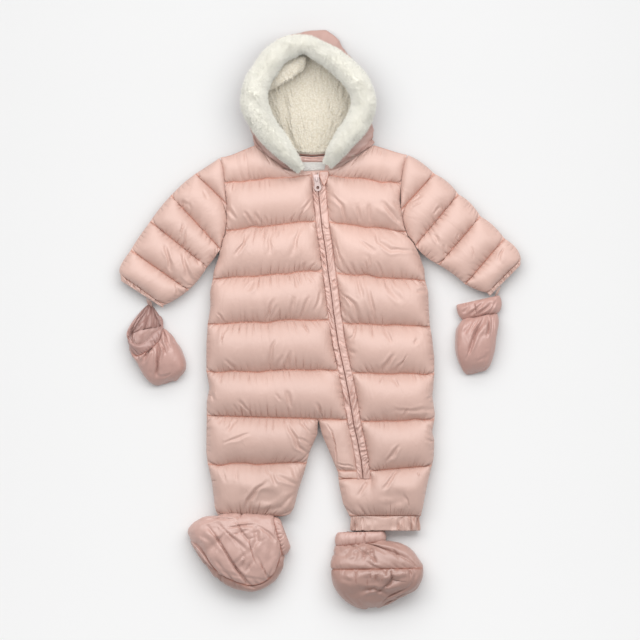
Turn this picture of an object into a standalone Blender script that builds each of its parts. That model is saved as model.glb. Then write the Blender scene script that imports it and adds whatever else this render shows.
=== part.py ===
"""Padded baby snowsuit laid flat on its back, front up, hood open.

Metres, +Z up, +Y towards the hood, +X towards the wearer's left. The suit
rests on z = 0 and its origin is the middle of its underside.
Tables and sizes below are in millimetres.
"""

import math

import bmesh
import bpy
import numpy as np
from mathutils import Vector

MM = 0.001
SEAM_GAP = 0.3
GAP_HALF = SEAM_GAP / 2

# Padded cloth
SEAM_LEVEL = 17.0  # height of the side seams over the surface
WALL = 3.0  # padded wall pressed flat by a seam
PUFF = 17.0  # how far a channel's padding rises over its seams
SIDE_ROUND = 28.0  # width over which the front rises from a side edge
ZIP_ROUND = 11.0  # the same beside the zip placket
NO_ROUND = 1e-6  # the same where the panel goes on
BACK_ROUND = 22.0  # width over which the underside reaches the surface
CHANNEL_STEPS = (0.0, 0.1, 0.3, 0.7, 0.9, 1.0)
BACK_STEPS = (0.0, 0.35, 0.7, 1.0)
BACK_TOP_STEPS = (0.0, 0.12, 0.35, 0.65, 1.0)
LEG_FOOT_STEPS = (0.3, 0.65, 0.88, 1.0)
LEG_FOOT_COLUMNS = 3  # columns under the foot of the placket
TOP_DEPTH = 40.0  # depth of a top channel that takes the whole padding

# Zip and placket
PLACKET_RIGHT = 8.0  # strip on the wearer's right of the zip
PLACKET_LEFT = 11.0
PLACKET_GAP = 0.7
PLACKET_TOP = 22.6
PLACKET_CROWN = 1.5  # rise of a strip's middle over its edges
PLACKET_HEAD = 221.0  # y of its upper end
PLACKET_PLAIN = 180.0  # y above which the strips are plain, under the slider
PLACKET_PUCKER = 1.6
PLACKET_PUCKERS = 14
PLACKET_ROWS = 57
CHAIN_HALF = 1.1
CHAIN_TOP = 21.4
CHAIN_FIRST_ROW = 3  # placket row at which the chain comes out from under the slider
PLACKET_FOOT = -237.5

# Columns across a front, from the side seam (0) to the zip (1)
RIGHT_COLUMNS = (0.0, 0.04, 0.12, 0.27, 0.45, 0.62, 0.78, 0.9, 1.0)
RIGHT_CROTCH_COLUMN = 6
LEFT_COLUMNS = (0.0, 0.05, 0.14, 0.3, 0.5, 0.68, 0.84, 0.94, 1.0)
BACK_COLUMNS = (0.0, 0.03, 0.09, 0.2, 0.35, 0.49, 0.64, 0.79, 0.91, 0.97, 1.0)
BACK_CROTCH_COLUMN = 5

# Side edges, top to bottom: x, y
SIDE_RIGHT = (
    (-149.0, 243.0), (-147.0, 235.0), (-143.0, 204.0), (-139.5, 174.0), (-141.0, 132.0),
    (-147.0, 111.0), (-151.5, 94.5), (-159.0, 73.5), (-160.5, 61.0), (-164.5, 42.0),
    (-164.0, 20.0), (-168.0, -6.0), (-170.0, -38.0), (-170.0, -76.5), (-165.5, -102.0),
    (-169.5, -121.5), (-169.5, -142.0), (-170.0, -180.0), (-170.0, -198.0), (-168.0, -214.5),
    (-162.0, -241.5), (-159.0, -264.0), (-156.0, -294.0),
)
SIDE_LEFT = (
    (130.0, 247.0), (121.5, 206.0), (119.5, 177.0), (121.5, 165.0), (126.0, 139.5),
    (132.0, 123.0), (142.0, 111.0), (148.5, 98.0), (156.0, 76.0), (157.5, 58.5),
    (162.0, 42.0), (163.0, 13.5), (164.5, -9.0), (168.0, -28.5), (171.0, -57.0),
    (171.0, -81.0), (169.5, -103.0), (168.0, -113.0), (172.0, -141.0), (171.0, -150.0),
    (168.0, -168.0), (171.0, -180.0), (170.0, -207.0), (167.0, -219.0), (160.0, -249.0),
    (155.0, -274.0), (151.0, -293.0),
)
# Inner edges of the legs from the crotch down: x, y
INSIDE_RIGHT = ((-3.0, -149.0), (-4.0, -171.0), (-16.5, -199.5), (-19.5, -213.0), (-24.0, -229.5),
                (-33.0, -256.5), (-42.0, -294.0))
INSIDE_LEFT = ((-2.4, -149.0), (3.0, -171.0), (15.0, -199.5), (27.0, -228.0), (28.5, -246.0),
               (34.5, -274.5), (44.0, -293.0))
# Line of the zip, top to bottom: x, y
ZIP_LINE = (
    (-4.0, 223.0), (-2.5, 193.0), (3.0, 138.0), (9.0, 100.5), (12.0, 73.5), (16.5, 42.0),
    (20.0, 13.0), (27.0, -34.5), (34.5, -69.0), (38.0, -85.5), (43.0, -111.0), (46.5, -132.0),
    (51.0, -159.0), (56.0, -180.0), (61.5, -210.0), (64.0, -232.5), (64.5, -240.0),
)
# Top edge of each front at its columns, side to zip: x, y
TOP_RIGHT = ((-149.0, 243.0), (-144.0, 243.8), (-135.0, 245.5), (-116.0, 253.5), (-97.0, 261.5),
             (-76.0, 240.5), (-55.0, 226.0), (-33.0, 219.2), (-12.2, 221.0))
TOP_LEFT = ((130.0, 247.0), (125.0, 248.0), (115.0, 250.5), (98.0, 256.0), (80.0, 261.5),
            (60.0, 247.0), (40.0, 233.5), (22.0, 227.0), (7.2, 223.5))
TOP_BACK = ((-149.0, 243.0), (-144.0, 243.8), (-130.0, 247.5), (-97.0, 261.0), (-58.0, 248.0),
            (-12.0, 244.0), (38.0, 248.0), (80.0, 261.0), (112.0, 251.5), (126.0, 247.8),
            (130.0, 247.0))
# Quilting seams: y at the side, y at the zip
SEAMS_RIGHT = ((205.0, 217.0), (134.0, 148.0), (61.0, 74.0), (-6.0, 1.0), (-77.0, -75.0),
               (-143.0, -149.0))
LEG_SEAMS_RIGHT = ((-216.0, -214.0), (-293.6, -293.6))
STRIP_SEAMS = ((-149.0, -152.0), (-225.0, -226.0), (-237.5, -237.5))
SEAMS_LEFT = ((204.0, 217.5), (132.0, 147.0), (58.5, 70.0), (-10.0, -4.5), (-81.0, -79.5),
              (-149.0, -152.0), (-218.0, -226.0))
LEG_SEAMS_LEFT = ((-218.0, -226.0), (-237.8, -237.8), (-292.8, -292.8))
SEAMS_BACK = ((204.0, 204.0), (133.0, 133.0), (60.0, 60.0), (-8.0, -8.0), (-79.0, -79.0),
              (-149.0, -149.0))
LEG_SEAMS_BACK = ((-217.0, -217.0), (-293.0, -293.0))
RISE_SEAM = (-3.0, 7.0, 0.55)  # x, half width and share of padding that the rise seam takes
RISE_FROM, RISE_REACH = -75.0, 60.0  # y where it starts, and the run over which it deepens
# Sleeve sections from shoulder to hem, a seam and the middle of a channel in turn:
# outer edge x, y, then inner edge x, y (the armhole, then the underarm)
SLEEVE_RIGHT = (
    (-150.5, 242.0, -149.4, 240.0), (-166.0, 232.0, -143.0, 206.0), (-186.0, 219.0, -140.0, 174.0),
    (-204.0, 205.0, -141.0, 138.0), (-223.0, 186.5, -149.0, 106.0), (-240.0, 167.0, -160.5, 89.5),
    (-254.0, 147.5, -169.0, 79.5), (-271.0, 124.0, -182.0, 60.5), (-283.0, 104.5, -197.0, 44.5),
    (-298.0, 82.0, -216.0, 33.0), (-299.0, 69.0, -236.5, 26.5),
)
SLEEVE_LEFT = (
    (131.5, 246.4, 130.6, 244.0), (150.0, 237.0, 122.0, 206.0), (171.0, 219.0, 121.5, 165.0),
    (191.5, 206.0, 127.0, 136.0), (207.0, 188.0, 142.0, 111.5), (225.0, 175.0, 158.0, 95.0),
    (240.0, 155.0, 178.0, 82.5), (258.5, 142.0, 198.0, 69.5), (276.0, 122.0, 217.5, 53.5),
    (294.0, 107.0, 235.0, 45.0), (300.5, 90.5, 250.0, 41.0),
)
SLEEVE_CUFF_RIGHT = (-297.5, 58.5, -235.0, 18.0)
SLEEVE_CUFF_LEFT = (300.0, 82.0, 254.0, 36.0)
SLEEVE_COLUMNS = (0.0, 0.06, 0.2, 0.42, 0.65, 0.85, 0.95, 1.0)
SLEEVE_CHANNELS = 5
SLEEVE_FOLD_WALL = 4.5
SLEEVE_FULL_WIDTH = 45.0  # width of a section that takes the whole padding
SLEEVE_CHANNEL_RUN = 60.0  # length of a channel along the arm, near the hem
SHOULDER_RUN = 25.0  # the same under the shoulder's point
ARMHOLE_GAP = 0.8
ARMHOLE_RIGHT_FOOT, ARMHOLE_LEFT_FOOT = 94.5, 98.0  # y at which each armhole ends
CUFF_WAVES = 9
CUFF_WAVE_HEIGHT = 1.3
CUFF_WAVE_ROWS = (0.0, 1.0, 0.8)  # share of the wave at the hem, middle and edge
CUFF_FOLD = 0.4  # inset of the fold, as a share of half a wave

# Hood stations along its face opening, wearer's right neck end to left neck end:
# trim centre x, y, trim half width, widest point of the shell x, y, neck seam x, y, z
HOOD = (
    (-29.0, 225.0, 5.5, -33.5, 223.5, -34.0, 221.5, 21.5),
    (-44.0, 239.0, 11.0, -53.0, 233.0, -57.0, 229.0, 21.5),
    (-65.0, 261.0, 15.5, -82.0, 251.0, -79.0, 245.0, 21.5),
    (-86.0, 285.0, 16.5, -99.0, 274.0, -97.5, 263.5, 17.5),
    (-99.0, 312.0, 16.5, -110.0, 306.0, -80.0, 257.5, 15.0),
    (-102.0, 333.0, 16.5, -114.0, 334.0, -64.0, 252.5, 14.0),
    (-96.0, 357.0, 16.5, -107.0, 363.0, -50.0, 249.5, 14.0),
    (-81.0, 380.0, 17.0, -90.0, 391.0, -39.0, 248.0, 14.0),
    (-62.0, 398.0, 17.0, -71.0, 413.0, -29.0, 246.8, 14.0),
    (-41.0, 408.0, 16.5, -47.0, 427.0, -20.0, 246.0, 14.0),
    (-18.0, 408.0, 15.5, -17.0, 432.5, -12.0, 245.6, 14.0),
    (3.0, 399.0, 15.5, 15.0, 429.5, -3.0, 246.0, 14.0),
    (24.0, 385.0, 17.0, 36.0, 405.0, 7.0, 246.8, 14.0),
    (48.0, 363.0, 18.0, 58.0, 377.0, 18.0, 248.0, 14.0),
    (63.0, 339.0, 18.0, 75.0, 345.0, 30.0, 249.5, 14.0),
    (65.0, 318.0, 18.0, 79.0, 320.0, 44.0, 252.0, 14.0),
    (56.0, 294.0, 18.0, 76.0, 296.0, 62.0, 257.0, 15.0),
    (39.0, 272.0, 16.5, 78.0, 275.0, 80.5, 263.5, 17.5),
    (23.0, 249.0, 13.0, 52.0, 249.0, 58.0, 248.5, 21.5),
    (12.0, 232.0, 7.0, 20.0, 231.0, 20.0, 229.5, 21.5),
)
HOOD_RIM = 29.0  # height at which the shell and lining end under the trim
HOOD_WIDEST = 15.0  # height of the bowl's widest point
HOOD_CORNER_WIDEST = 20.0  # the same at the two stations where the bowl meets the neckline
HOOD_COLLAR_WIDEST = 25.0  # the same beside the neckline
HOOD_BULGE = 1.5  # rise of the side between the rim and the widest point
HOOD_TURN = ((5.0, 4.5), (15.0, 0.0))  # run in from the widest point, and height, as it turns under
HOOD_FLAT_STEPS = (0.33, 0.62, 0.9)
HOOD_COLLAR_STEPS = (0.17, 0.33, 0.5, 0.67, 0.83, 1.0)
HOOD_SHELL_WALL = 2.2
HOOD_LINING_WALL = 4.0
HOOD_LINING_HEM = 1.0  # lining beside the neckline
HOOD_LINING_GAP = 0.8
HOOD_PANEL_GAP = 0.7
HOOD_MIDDLE = (-18.0, 320.0)
HOOD_CORNER_EASE = 3.0  # the lining stands clear of the shell at the neck corners
HOOD_BACK_FROM, HOOD_BACK_TO = 3, 17  # stations between which the hood reaches the surface
HOOD_PANELS = (("hood_shell_right", 0, 8), ("hood_shell_centre", 8, 12), ("hood_shell_left", 12, 19))
TRIM_SIDES = 12
TRIM_HEIGHT = 15.0  # half height of the fur roll

# Inside of the back neck and the zip's top: outlines x, y, then each piece's thickness
NECK_FACING = ((-36.0, 236.8), (12.0, 236.8), (12.0, 243.2), (-36.0, 243.2))
LABEL = ((-24.5, 222.8), (6.5, 224.6), (9.0, 236.4), (-27.0, 236.4))
CHIN_GUARD = ((-0.6, 214.0), (1.6, 207.5), (6.2, 199.5), (10.4, 207.5), (13.2, 217.0), (12.4, 223.2),
              (-0.6, 222.4))
FACING_WALL, LABEL_WALL, GUARD_WALL = 1.4, 0.8, 1.2

# Bags: rows from the mouth to the tip, edge A x, y, edge B x, y, height
MITTEN_RIGHT = (
    (-262.5, 24.0, -247.5, 21.0, 9.0), (-273.0, 9.0, -240.0, 6.0, 15.0), (-285.0, -9.0, -235.5, -7.5, 22.0),
    (-291.0, -25.5, -234.0, -16.5, 27.0), (-283.5, -43.5, -220.5, -30.0, 29.0),
    (-274.5, -58.5, -210.0, -43.5, 30.0), (-264.0, -76.5, -201.0, -61.5, 27.0),
    (-252.0, -90.0, -205.5, -73.5, 20.0), (-240.0, -96.0, -217.5, -88.5, 7.0),
)
MITTEN_LEFT = (
    (205.5, 23.0, 268.0, 37.0, 18.0), (208.5, 12.0, 273.0, 23.0, 20.0), (216.0, 0.0, 265.0, 10.5, 15.0),
    (207.0, -13.5, 264.0, -3.0, 26.0), (204.0, -33.0, 260.0, -28.5, 30.0), (205.5, -54.0, 256.5, -48.0, 28.0),
    (211.5, -67.5, 252.0, -64.5, 20.0), (220.5, -81.0, 243.0, -75.0, 7.0),
)
BOOTIE_RIGHT = (
    (-58.5, -302.0, -45.0, -337.5, 26.0), (-71.0, -294.4, -55.5, -354.0, 30.0),
    (-87.0, -293.3, -61.5, -375.0, 35.0), (-108.0, -292.9, -73.5, -397.5, 38.0),
    (-132.0, -292.9, -97.5, -408.0, 40.0), (-157.5, -293.2, -129.0, -399.0, 40.0),
    (-180.0, -295.0, -156.0, -379.5, 36.0), (-192.0, -309.0, -181.5, -346.5, 26.0),
    (-195.0, -319.5, -192.0, -331.5, 8.0),
)
BOOTIE_LEFT = (
    (27.0, -318.5, 94.5, -315.9, 20.0), (24.0, -339.0, 99.0, -331.5, 22.0), (25.5, -352.5, 132.0, -343.5, 34.0),
    (19.5, -366.0, 151.5, -363.0, 42.0), (18.0, -382.5, 154.5, -381.0, 44.0), (22.5, -399.0, 150.0, -393.0, 40.0),
    (36.0, -414.0, 123.0, -409.5, 30.0), (54.0, -424.5, 105.0, -420.0, 18.0), (72.0, -430.5, 87.0, -429.0, 6.0),
)
BAG_SIDES = 14
BAG_LIFT, BAG_OUT = 0.7, 0.9  # powers that flatten a bag's round section
BAG_LEAST = 0.4  # least half size left inside a wall
BAG_FLOOR = 0.09  # share of the height that settles onto the floor
SOLE_SIDES = (10, 15)  # run of a bag's columns that is the right bootie's sole
SOLE_GAP = 0.04  # share of a column left open at the sole's seam
# Loops that tie the mittens to the sleeves: x, y, z along the loop, then its half width x, y
MITTEN_TAB_RIGHT = ((-256.3, 30.6, 16.9), (-255.8, 27.0, 11.0), (-255.0, 21.5, 3.6), (3.8, -2.4))
MITTEN_TAB_LEFT = ((267.9, 48.2, 16.9), (266.4, 43.0, 13.5), (263.9, 36.4, 10.2), (3.0, 2.6))
TAB_WALL = 1.4
MITTEN_WALL = 2.2
BOOTIE_WALL = 3.2

# Leg cuff of the wearer's left leg
LEG_CUFF_MIDDLE_X = 97.5
# Rows from the leg to the foot: y, half width, share of the gathers
LEG_CUFF_ROWS = ((-293.4, 53.0, 0.0), (-297.0, 51.0, 0.7), (-306.0, 51.0, 1.0), (-315.4, 52.0, 1.0))
LEG_CUFF_OUT, LEG_CUFF_LIFT = 0.6, 0.55  # powers that flatten its round section
LEG_CUFF_MIDDLE, LEG_CUFF_HALF, LEG_CUFF_WALL = 11.5, 9.5, 2.4
LEG_CUFF_GATHERS = 13
LEG_CUFF_GATHER_HEIGHT = 1.1

# Slider and pull tab
PULL_AXIS = (-5.2, 211.4, 27.7)
PULL_TURN = math.radians(8.0)  # the pull hangs a little towards the wearer's left
PULL_DROOP = math.radians(6.0)
PULL_THICK, PULL_LENGTH, PULL_TOP_WIDTH, PULL_FOOT_WIDTH = 1.6, 19.0, 6.8, 11.0
EYE_WIDTH, EYE_FROM, EYE_TO = 3.4, 0.8, 5.3
PULL_HOLE = (13.6, 2.5)
SLIDER = (8.0, 12.0, 22.9, 25.9)  # width, length, underside, top
BRIDGE = (2.2, 3.2, 1.5, 2.7)  # width, half length, clear height and top over the axis
BRIDGE_WALL = 1.3
BRIDGE_SUNK = 0.5  # how far its feet reach into the slider's body
PULL_NECK = (-0.8, 5.5)  # y of the parallel part at its top
ARC_STEP, HOLE_STEP = 20, 30  # degrees

COLOURS = {
    # name: (red, green, blue), roughness, metallic
    "pink_nylon": ((0.76, 0.49, 0.43), 0.38, 0.0),
    "pink_zip": ((0.55, 0.28, 0.23), 0.5, 0.0),
    "pink_metal": ((0.80, 0.63, 0.60), 0.35, 0.2),
    "cream_plush": ((0.80, 0.79, 0.72), 0.95, 0.0),
    "cream_sherpa": ((0.79, 0.74, 0.62), 0.95, 0.0),
    "white_label": ((0.86, 0.86, 0.86), 0.6, 0.0),
}


def make_materials():
    made = {}
    for name, (colour, roughness, metallic) in COLOURS.items():
        material = bpy.data.materials.new(name)
        material.use_nodes = True
        shader = material.node_tree.nodes["Principled BSDF"]
        shader.inputs["Base Color"].default_value = (*colour, 1.0)
        shader.inputs["Roughness"].default_value = roughness
        shader.inputs["Metallic"].default_value = metallic
        made[name] = material
    return made


def make_object(name, build, material):
    """Link a mesh object whose bmesh is already in metres."""
    bmesh.ops.recalc_face_normals(build, faces=build.faces)
    mesh = bpy.data.meshes.new(name)
    build.to_mesh(mesh)
    build.free()
    mesh.shade_smooth()
    mesh.set_sharp_from_angle(angle=math.radians(50.0))
    mesh.materials.append(MATERIALS[material])
    item = bpy.data.objects.new(name, mesh)
    bpy.context.scene.collection.objects.link(item)
    return item


def cloth_wall(name, outer, inner, faces, material):
    """Close two skins that share their faces into one wall, with a rim on every free edge."""
    build = bmesh.new()
    count = len(outer)
    verts = [build.verts.new(Vector(point) * MM) for point in (*outer, *inner)]
    directed = {(face[i - 1], face[i]) for face in faces for i in range(len(face))}
    for face in faces:
        build.faces.new([verts[i] for i in face])
        build.faces.new([verts[i + count] for i in reversed(face)])
    for start, end in sorted(directed):
        if (end, start) not in directed:
            build.faces.new([verts[end], verts[start], verts[start + count], verts[end + count]])
    return make_object(name, build, material)


def grid_faces(rows, columns, wrapped=False):
    across = columns if wrapped else columns - 1
    return [
        (r * columns + c, r * columns + (c + 1) % columns,
         (r + 1) * columns + (c + 1) % columns, (r + 1) * columns + c)
        for r in range(rows - 1)
        for c in range(across)
    ]


def grid_triangles(rows, columns):
    """The same grid with every face split along the same diagonal."""
    return [part for a, b, c, d in grid_faces(rows, columns) for part in ((a, b, c), (a, c, d))]


def x_at(edge, y):
    """x of an edge at height y; the edge's table runs from top to bottom."""
    return float(np.interp(y, [p[1] for p in edge[::-1]], [p[0] for p in edge[::-1]]))


def rounded(distance, width):
    """0 at an edge to 1 at the given width from it, along a quarter of an ellipse."""
    share = min(max(distance / width, 0.0), 1.0)
    return math.sqrt(1.0 - (1.0 - share) ** 2)


def puffed(share):
    """Height of a stuffed channel across its width, 0 at both seams."""
    return max(math.sin(math.pi * share), 0.0) ** 0.6


def channel_rows(seams, steps):
    """(y at side, y at zip, share of the channel) for each row below the first seam."""
    rows = []
    for above, below in zip(seams, seams[1:]):
        for share in steps[1:]:
            rows.append((above[0] + (below[0] - above[0]) * share,
                         above[1] + (below[1] - above[1]) * share, share))
    return rows


class Patch:
    """Points of a panel by name, with the skins' heights, and the faces between them."""

    def __init__(self):
        self.index = {}
        self.outer = []
        self.inner = []
        self.faces = []

    def add(self, key, outer, inner):
        if key not in self.index:
            self.index[key] = len(self.outer)
            self.outer.append(outer)
            self.inner.append(inner)

    def span(self, keys):
        """Faces over a list of rows, each a list of keys."""
        for upper, lower in zip(keys, keys[1:]):
            for a, b, c, d in zip(upper, upper[1:], lower[1:], lower):
                self.faces.append(tuple(self.index[key] for key in (a, b, c, d)))

    def wall(self, name, material="pink_nylon"):
        return cloth_wall(name, self.outer, self.inner, self.faces, material)


def front_height(padding):
    low = SEAM_LEVEL + GAP_HALF
    return low + WALL + PUFF * padding, low


def rise_factor(x, y):
    """Padding left beside the rise seam, which runs up from the crotch through one channel."""
    middle, half, share = RISE_SEAM
    reach = min(max((RISE_FROM - y) / RISE_REACH, 0.0), 1.0)
    return 1.0 - share * reach * math.exp(-(((x - middle) / half) ** 2))


def add_front_row(patch, row, ends, shares, columns, share, rounds):
    """One row of a front panel from its side to its inner end."""
    (x0, y0), (x1, y1) = ends
    width = abs(x1 - x0)
    keys = []
    for column, across in zip(columns, shares):
        x = x0 + (x1 - x0) * across
        y = y0 + (y1 - y0) * across
        padding = puffed(share) * rounded(across * width, rounds[0])
        padding *= rounded((1.0 - across) * width, rounds[1]) * rise_factor(x, y)
        high, low = front_height(padding)
        keys.append((row, column))
        patch.add((row, column), (x, y, high), (x, y, low))
    return keys


def add_top_channel(patch, top, seam_ends, shares, rounds):
    """The channel between a panel's shaped top edge and its first seam."""
    keys = []
    (x0, y0), (x1, y1) = seam_ends
    width = abs(x1 - x0)
    for share in CHANNEL_STEPS:
        row = []
        for column, across in enumerate(shares):
            x = top[column][0] * (1.0 - share) + (x0 + (x1 - x0) * across) * share
            y = top[column][1] * (1.0 - share) + (y0 + (y1 - y0) * across) * share
            depth = abs(top[column][1] - (y0 + (y1 - y0) * across))
            padding = puffed(share) * rounded(across * width, rounds[0]) * min(depth / TOP_DEPTH, 1.0)
            padding *= rounded((1.0 - across) * width, rounds[1])
            high, low = front_height(padding)
            row.append(("top", share, column))
            patch.add(row[-1], (x, y, high), (x, y, low))
        keys.append(row)
    return keys


def front_right():
    """Wearer's right front: chest, right leg and the strip that crosses the crotch to the zip."""
    patch = Patch()
    side_round = (SIDE_ROUND, ZIP_ROUND)

    def zip_x(y):
        return x_at(ZIP_LINE, y) - PLACKET_RIGHT - PLACKET_GAP

    def ends(side_y, zip_y):
        return (x_at(SIDE_RIGHT, side_y), side_y), (zip_x(zip_y), zip_y)

    keys = add_top_channel(patch, TOP_RIGHT, ends(*SEAMS_RIGHT[0]), RIGHT_COLUMNS, side_round)
    columns = range(len(RIGHT_COLUMNS))
    for number, (side_y, zip_y, share) in enumerate(channel_rows(SEAMS_RIGHT, CHANNEL_STEPS)):
        row = add_front_row(patch, number, ends(side_y, zip_y), RIGHT_COLUMNS, columns, share, side_round)
        keys.append(row)
    patch.span(keys)
    last = keys[-1]
    split = RIGHT_CROTCH_COLUMN

    leg_shares = [share / RIGHT_COLUMNS[split] for share in RIGHT_COLUMNS[: split + 1]]
    keys = [last[: split + 1]]
    crotch_y = SEAMS_RIGHT[-1][1]
    leg = ((SEAMS_RIGHT[-1][0], crotch_y), *LEG_SEAMS_RIGHT)
    for number, (side_y, in_y, share) in enumerate(channel_rows(leg, CHANNEL_STEPS)):
        leg_ends = (x_at(SIDE_RIGHT, side_y), side_y), (x_at(INSIDE_RIGHT, in_y), in_y)
        keys.append(add_front_row(patch, ("leg", number), leg_ends, leg_shares, range(split + 1),
                                  share, (SIDE_ROUND, SIDE_ROUND)))
    patch.span(keys)

    strip_columns = range(split, len(RIGHT_COLUMNS))
    first = RIGHT_COLUMNS[split]
    strip_shares = [(RIGHT_COLUMNS[c] - first) / (1.0 - first) for c in strip_columns]
    keys = [last[split:]]
    for number, (in_y, zip_y, share) in enumerate(channel_rows(STRIP_SEAMS, CHANNEL_STEPS)):
        strip_ends = (x_at(INSIDE_LEFT, in_y), in_y), (zip_x(zip_y), zip_y)
        keys.append(add_front_row(patch, ("strip", number), strip_ends, strip_shares, strip_columns,
                                  share, (ZIP_ROUND, ZIP_ROUND)))
    patch.span(keys)
    return patch.wall("front_right")


def front_left():
    """Wearer's left front, with the whole front of the left leg below the zip's end."""
    patch = Patch()
    side_round = (SIDE_ROUND, ZIP_ROUND)

    def ends(side_y, zip_y):
        zip_x = x_at(ZIP_LINE, zip_y) + PLACKET_LEFT + PLACKET_GAP
        return (x_at(SIDE_LEFT, side_y), side_y), (zip_x, zip_y)

    keys = add_top_channel(patch, TOP_LEFT, ends(*SEAMS_LEFT[0]), LEFT_COLUMNS, side_round)
    columns = range(len(LEFT_COLUMNS))
    for number, (side_y, zip_y, share) in enumerate(channel_rows(SEAMS_LEFT, CHANNEL_STEPS)):
        keys.append(add_front_row(patch, number, ends(side_y, zip_y), LEFT_COLUMNS, columns, share,
                                  side_round))

    # The last channel runs on beside the placket's foot, then widens to the leg's inner edge.
    (top_y, zip_top_y), (foot_y, _), (hem_y, _) = LEG_SEAMS_LEFT
    foot_share = (top_y - foot_y) / (top_y - hem_y)
    foot_ends = ends(foot_y, foot_y)
    foot = add_front_row(patch, "foot", foot_ends, LEFT_COLUMNS, columns, foot_share,
                         (SIDE_ROUND, NO_ROUND))
    keys.append(foot)
    patch.span(keys)
    inside = [("foot", "in", number) for number in range(LEG_FOOT_COLUMNS)]
    wide = [foot + inside]
    zip_x = foot_ends[1][0]
    inner_x = x_at(INSIDE_LEFT, foot_y)
    for number, key in enumerate(inside):
        x = zip_x + (inner_x - zip_x) * (number + 1) / len(inside)
        padding = puffed(foot_share) * rounded(abs(x - inner_x), SIDE_ROUND)
        high, low = front_height(padding)
        patch.add(key, (x, foot_y, high), (x, foot_y, low))
    for number, step in enumerate(LEG_FOOT_STEPS):
        y = foot_y + (hem_y - foot_y) * step
        share = (top_y - y) / (top_y - hem_y)
        x0 = x_at(SIDE_LEFT, y)
        x1 = x_at(INSIDE_LEFT, y)
        width = x0 - x1
        middle = (foot_ends[0][0] - zip_x) / (foot_ends[0][0] - inner_x)
        shares = [c * middle for c in LEFT_COLUMNS]
        shares += [middle + (1.0 - middle) * (i + 1) / len(inside) for i in range(len(inside))]
        row = []
        for column, across in enumerate(shares):
            padding = puffed(share) * rounded(across * width, SIDE_ROUND)
            padding *= rounded((1.0 - across) * width, SIDE_ROUND)
            high, low = front_height(padding)
            row.append(("hem", number, column))
            patch.add(row[-1], (x0 - width * across, y, high), (x0 - width * across, y, low))
        wide.append(row)
    patch.span(wide)
    return patch.wall("front_left")


def back():
    """Back of the body and both legs, flat where it lies."""
    patch = Patch()
    low_seam = SEAM_LEVEL - GAP_HALF - WALL
    high = SEAM_LEVEL - GAP_HALF

    def add_row(row, ends, shares, columns, from_top, from_foot):
        (x0, y0), (x1, y1) = ends
        width = abs(x1 - x0)
        keys = []
        for column, across in zip(columns, shares):
            x = x0 + (x1 - x0) * across
            y = y0 + (y1 - y0) * across
            down = rounded(across * width, BACK_ROUND) * rounded((1.0 - across) * width, BACK_ROUND)
            down *= rounded(from_top, BACK_ROUND) * rounded(from_foot, BACK_ROUND / 2.0)
            keys.append((row, column))
            patch.add(keys[-1], (x, y, low_seam * (1.0 - down)), (x, y, high))
        return keys

    seam_y = SEAMS_BACK[0][0]
    seam_ends = (x_at(SIDE_RIGHT, seam_y), seam_y), (x_at(SIDE_LEFT, seam_y), seam_y)
    keys = []
    for share in BACK_TOP_STEPS:
        row = []
        for column, across in enumerate(BACK_COLUMNS):
            seam_x = seam_ends[0][0] + (seam_ends[1][0] - seam_ends[0][0]) * across
            x = TOP_BACK[column][0] * (1.0 - share) + seam_x * share
            y = TOP_BACK[column][1] * (1.0 - share) + seam_y * share
            width = seam_ends[1][0] - seam_ends[0][0]
            down = rounded(across * width, BACK_ROUND) * rounded((1.0 - across) * width, BACK_ROUND)
            down *= rounded(TOP_BACK[column][1] - y, BACK_ROUND)
            row.append(("top", share, column))
            patch.add(row[-1], (x, y, low_seam * (1.0 - down)), (x, y, high))
        keys.append(row)
    columns = range(len(BACK_COLUMNS))
    for number, (y, _, _) in enumerate(channel_rows(SEAMS_BACK, BACK_STEPS)):
        ends = (x_at(SIDE_RIGHT, y), y), (x_at(SIDE_LEFT, y), y)
        keys.append(add_row(number, ends, BACK_COLUMNS, columns, BACK_ROUND, BACK_ROUND))
    patch.span(keys)

    split = BACK_CROTCH_COLUMN
    at_crotch = BACK_COLUMNS[split]
    crotch_y = SEAMS_BACK[-1][0]
    right_shares = [c / at_crotch for c in BACK_COLUMNS[: split + 1]]
    left_shares = [(c - at_crotch) / (1.0 - at_crotch) for c in BACK_COLUMNS[split:]]
    legs = (
        ("right", SIDE_RIGHT, INSIDE_RIGHT, range(split + 1), right_shares),
        ("left", INSIDE_LEFT, SIDE_LEFT, range(split, len(BACK_COLUMNS)), left_shares),
    )
    last = keys[-1]
    for side, first_edge, second_edge, leg_columns, shares in legs:
        keys = [last[leg_columns[0]: leg_columns[-1] + 1]]
        rows = channel_rows(((crotch_y, crotch_y), *LEG_SEAMS_BACK), BACK_STEPS)
        for number, (y, _, _) in enumerate(rows):
            ends = (x_at(first_edge, y), y), (x_at(second_edge, y), y)
            keys.append(add_row((side, number), ends, shares, leg_columns, BACK_ROUND,
                                y - LEG_SEAMS_BACK[-1][0]))
        patch.span(keys)
    return patch.wall("back")


def smooth_section(sections, position):
    """Sleeve section between table rows, through three rows of each channel."""
    channel = min(int(position), len(sections) // 2 - 1)
    t = position - channel
    a, b, c = (np.array(sections[2 * channel + i]) for i in range(3))
    return a * (1.0 - t) * (1.0 - 2.0 * t) + b * 4.0 * t * (1.0 - t) + c * t * (2.0 * t - 1.0)


def sleeve_point(section, across):
    x0, y0, x1, y1 = section
    return x0 + (x1 - x0) * across, y0 + (y1 - y0) * across


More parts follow.
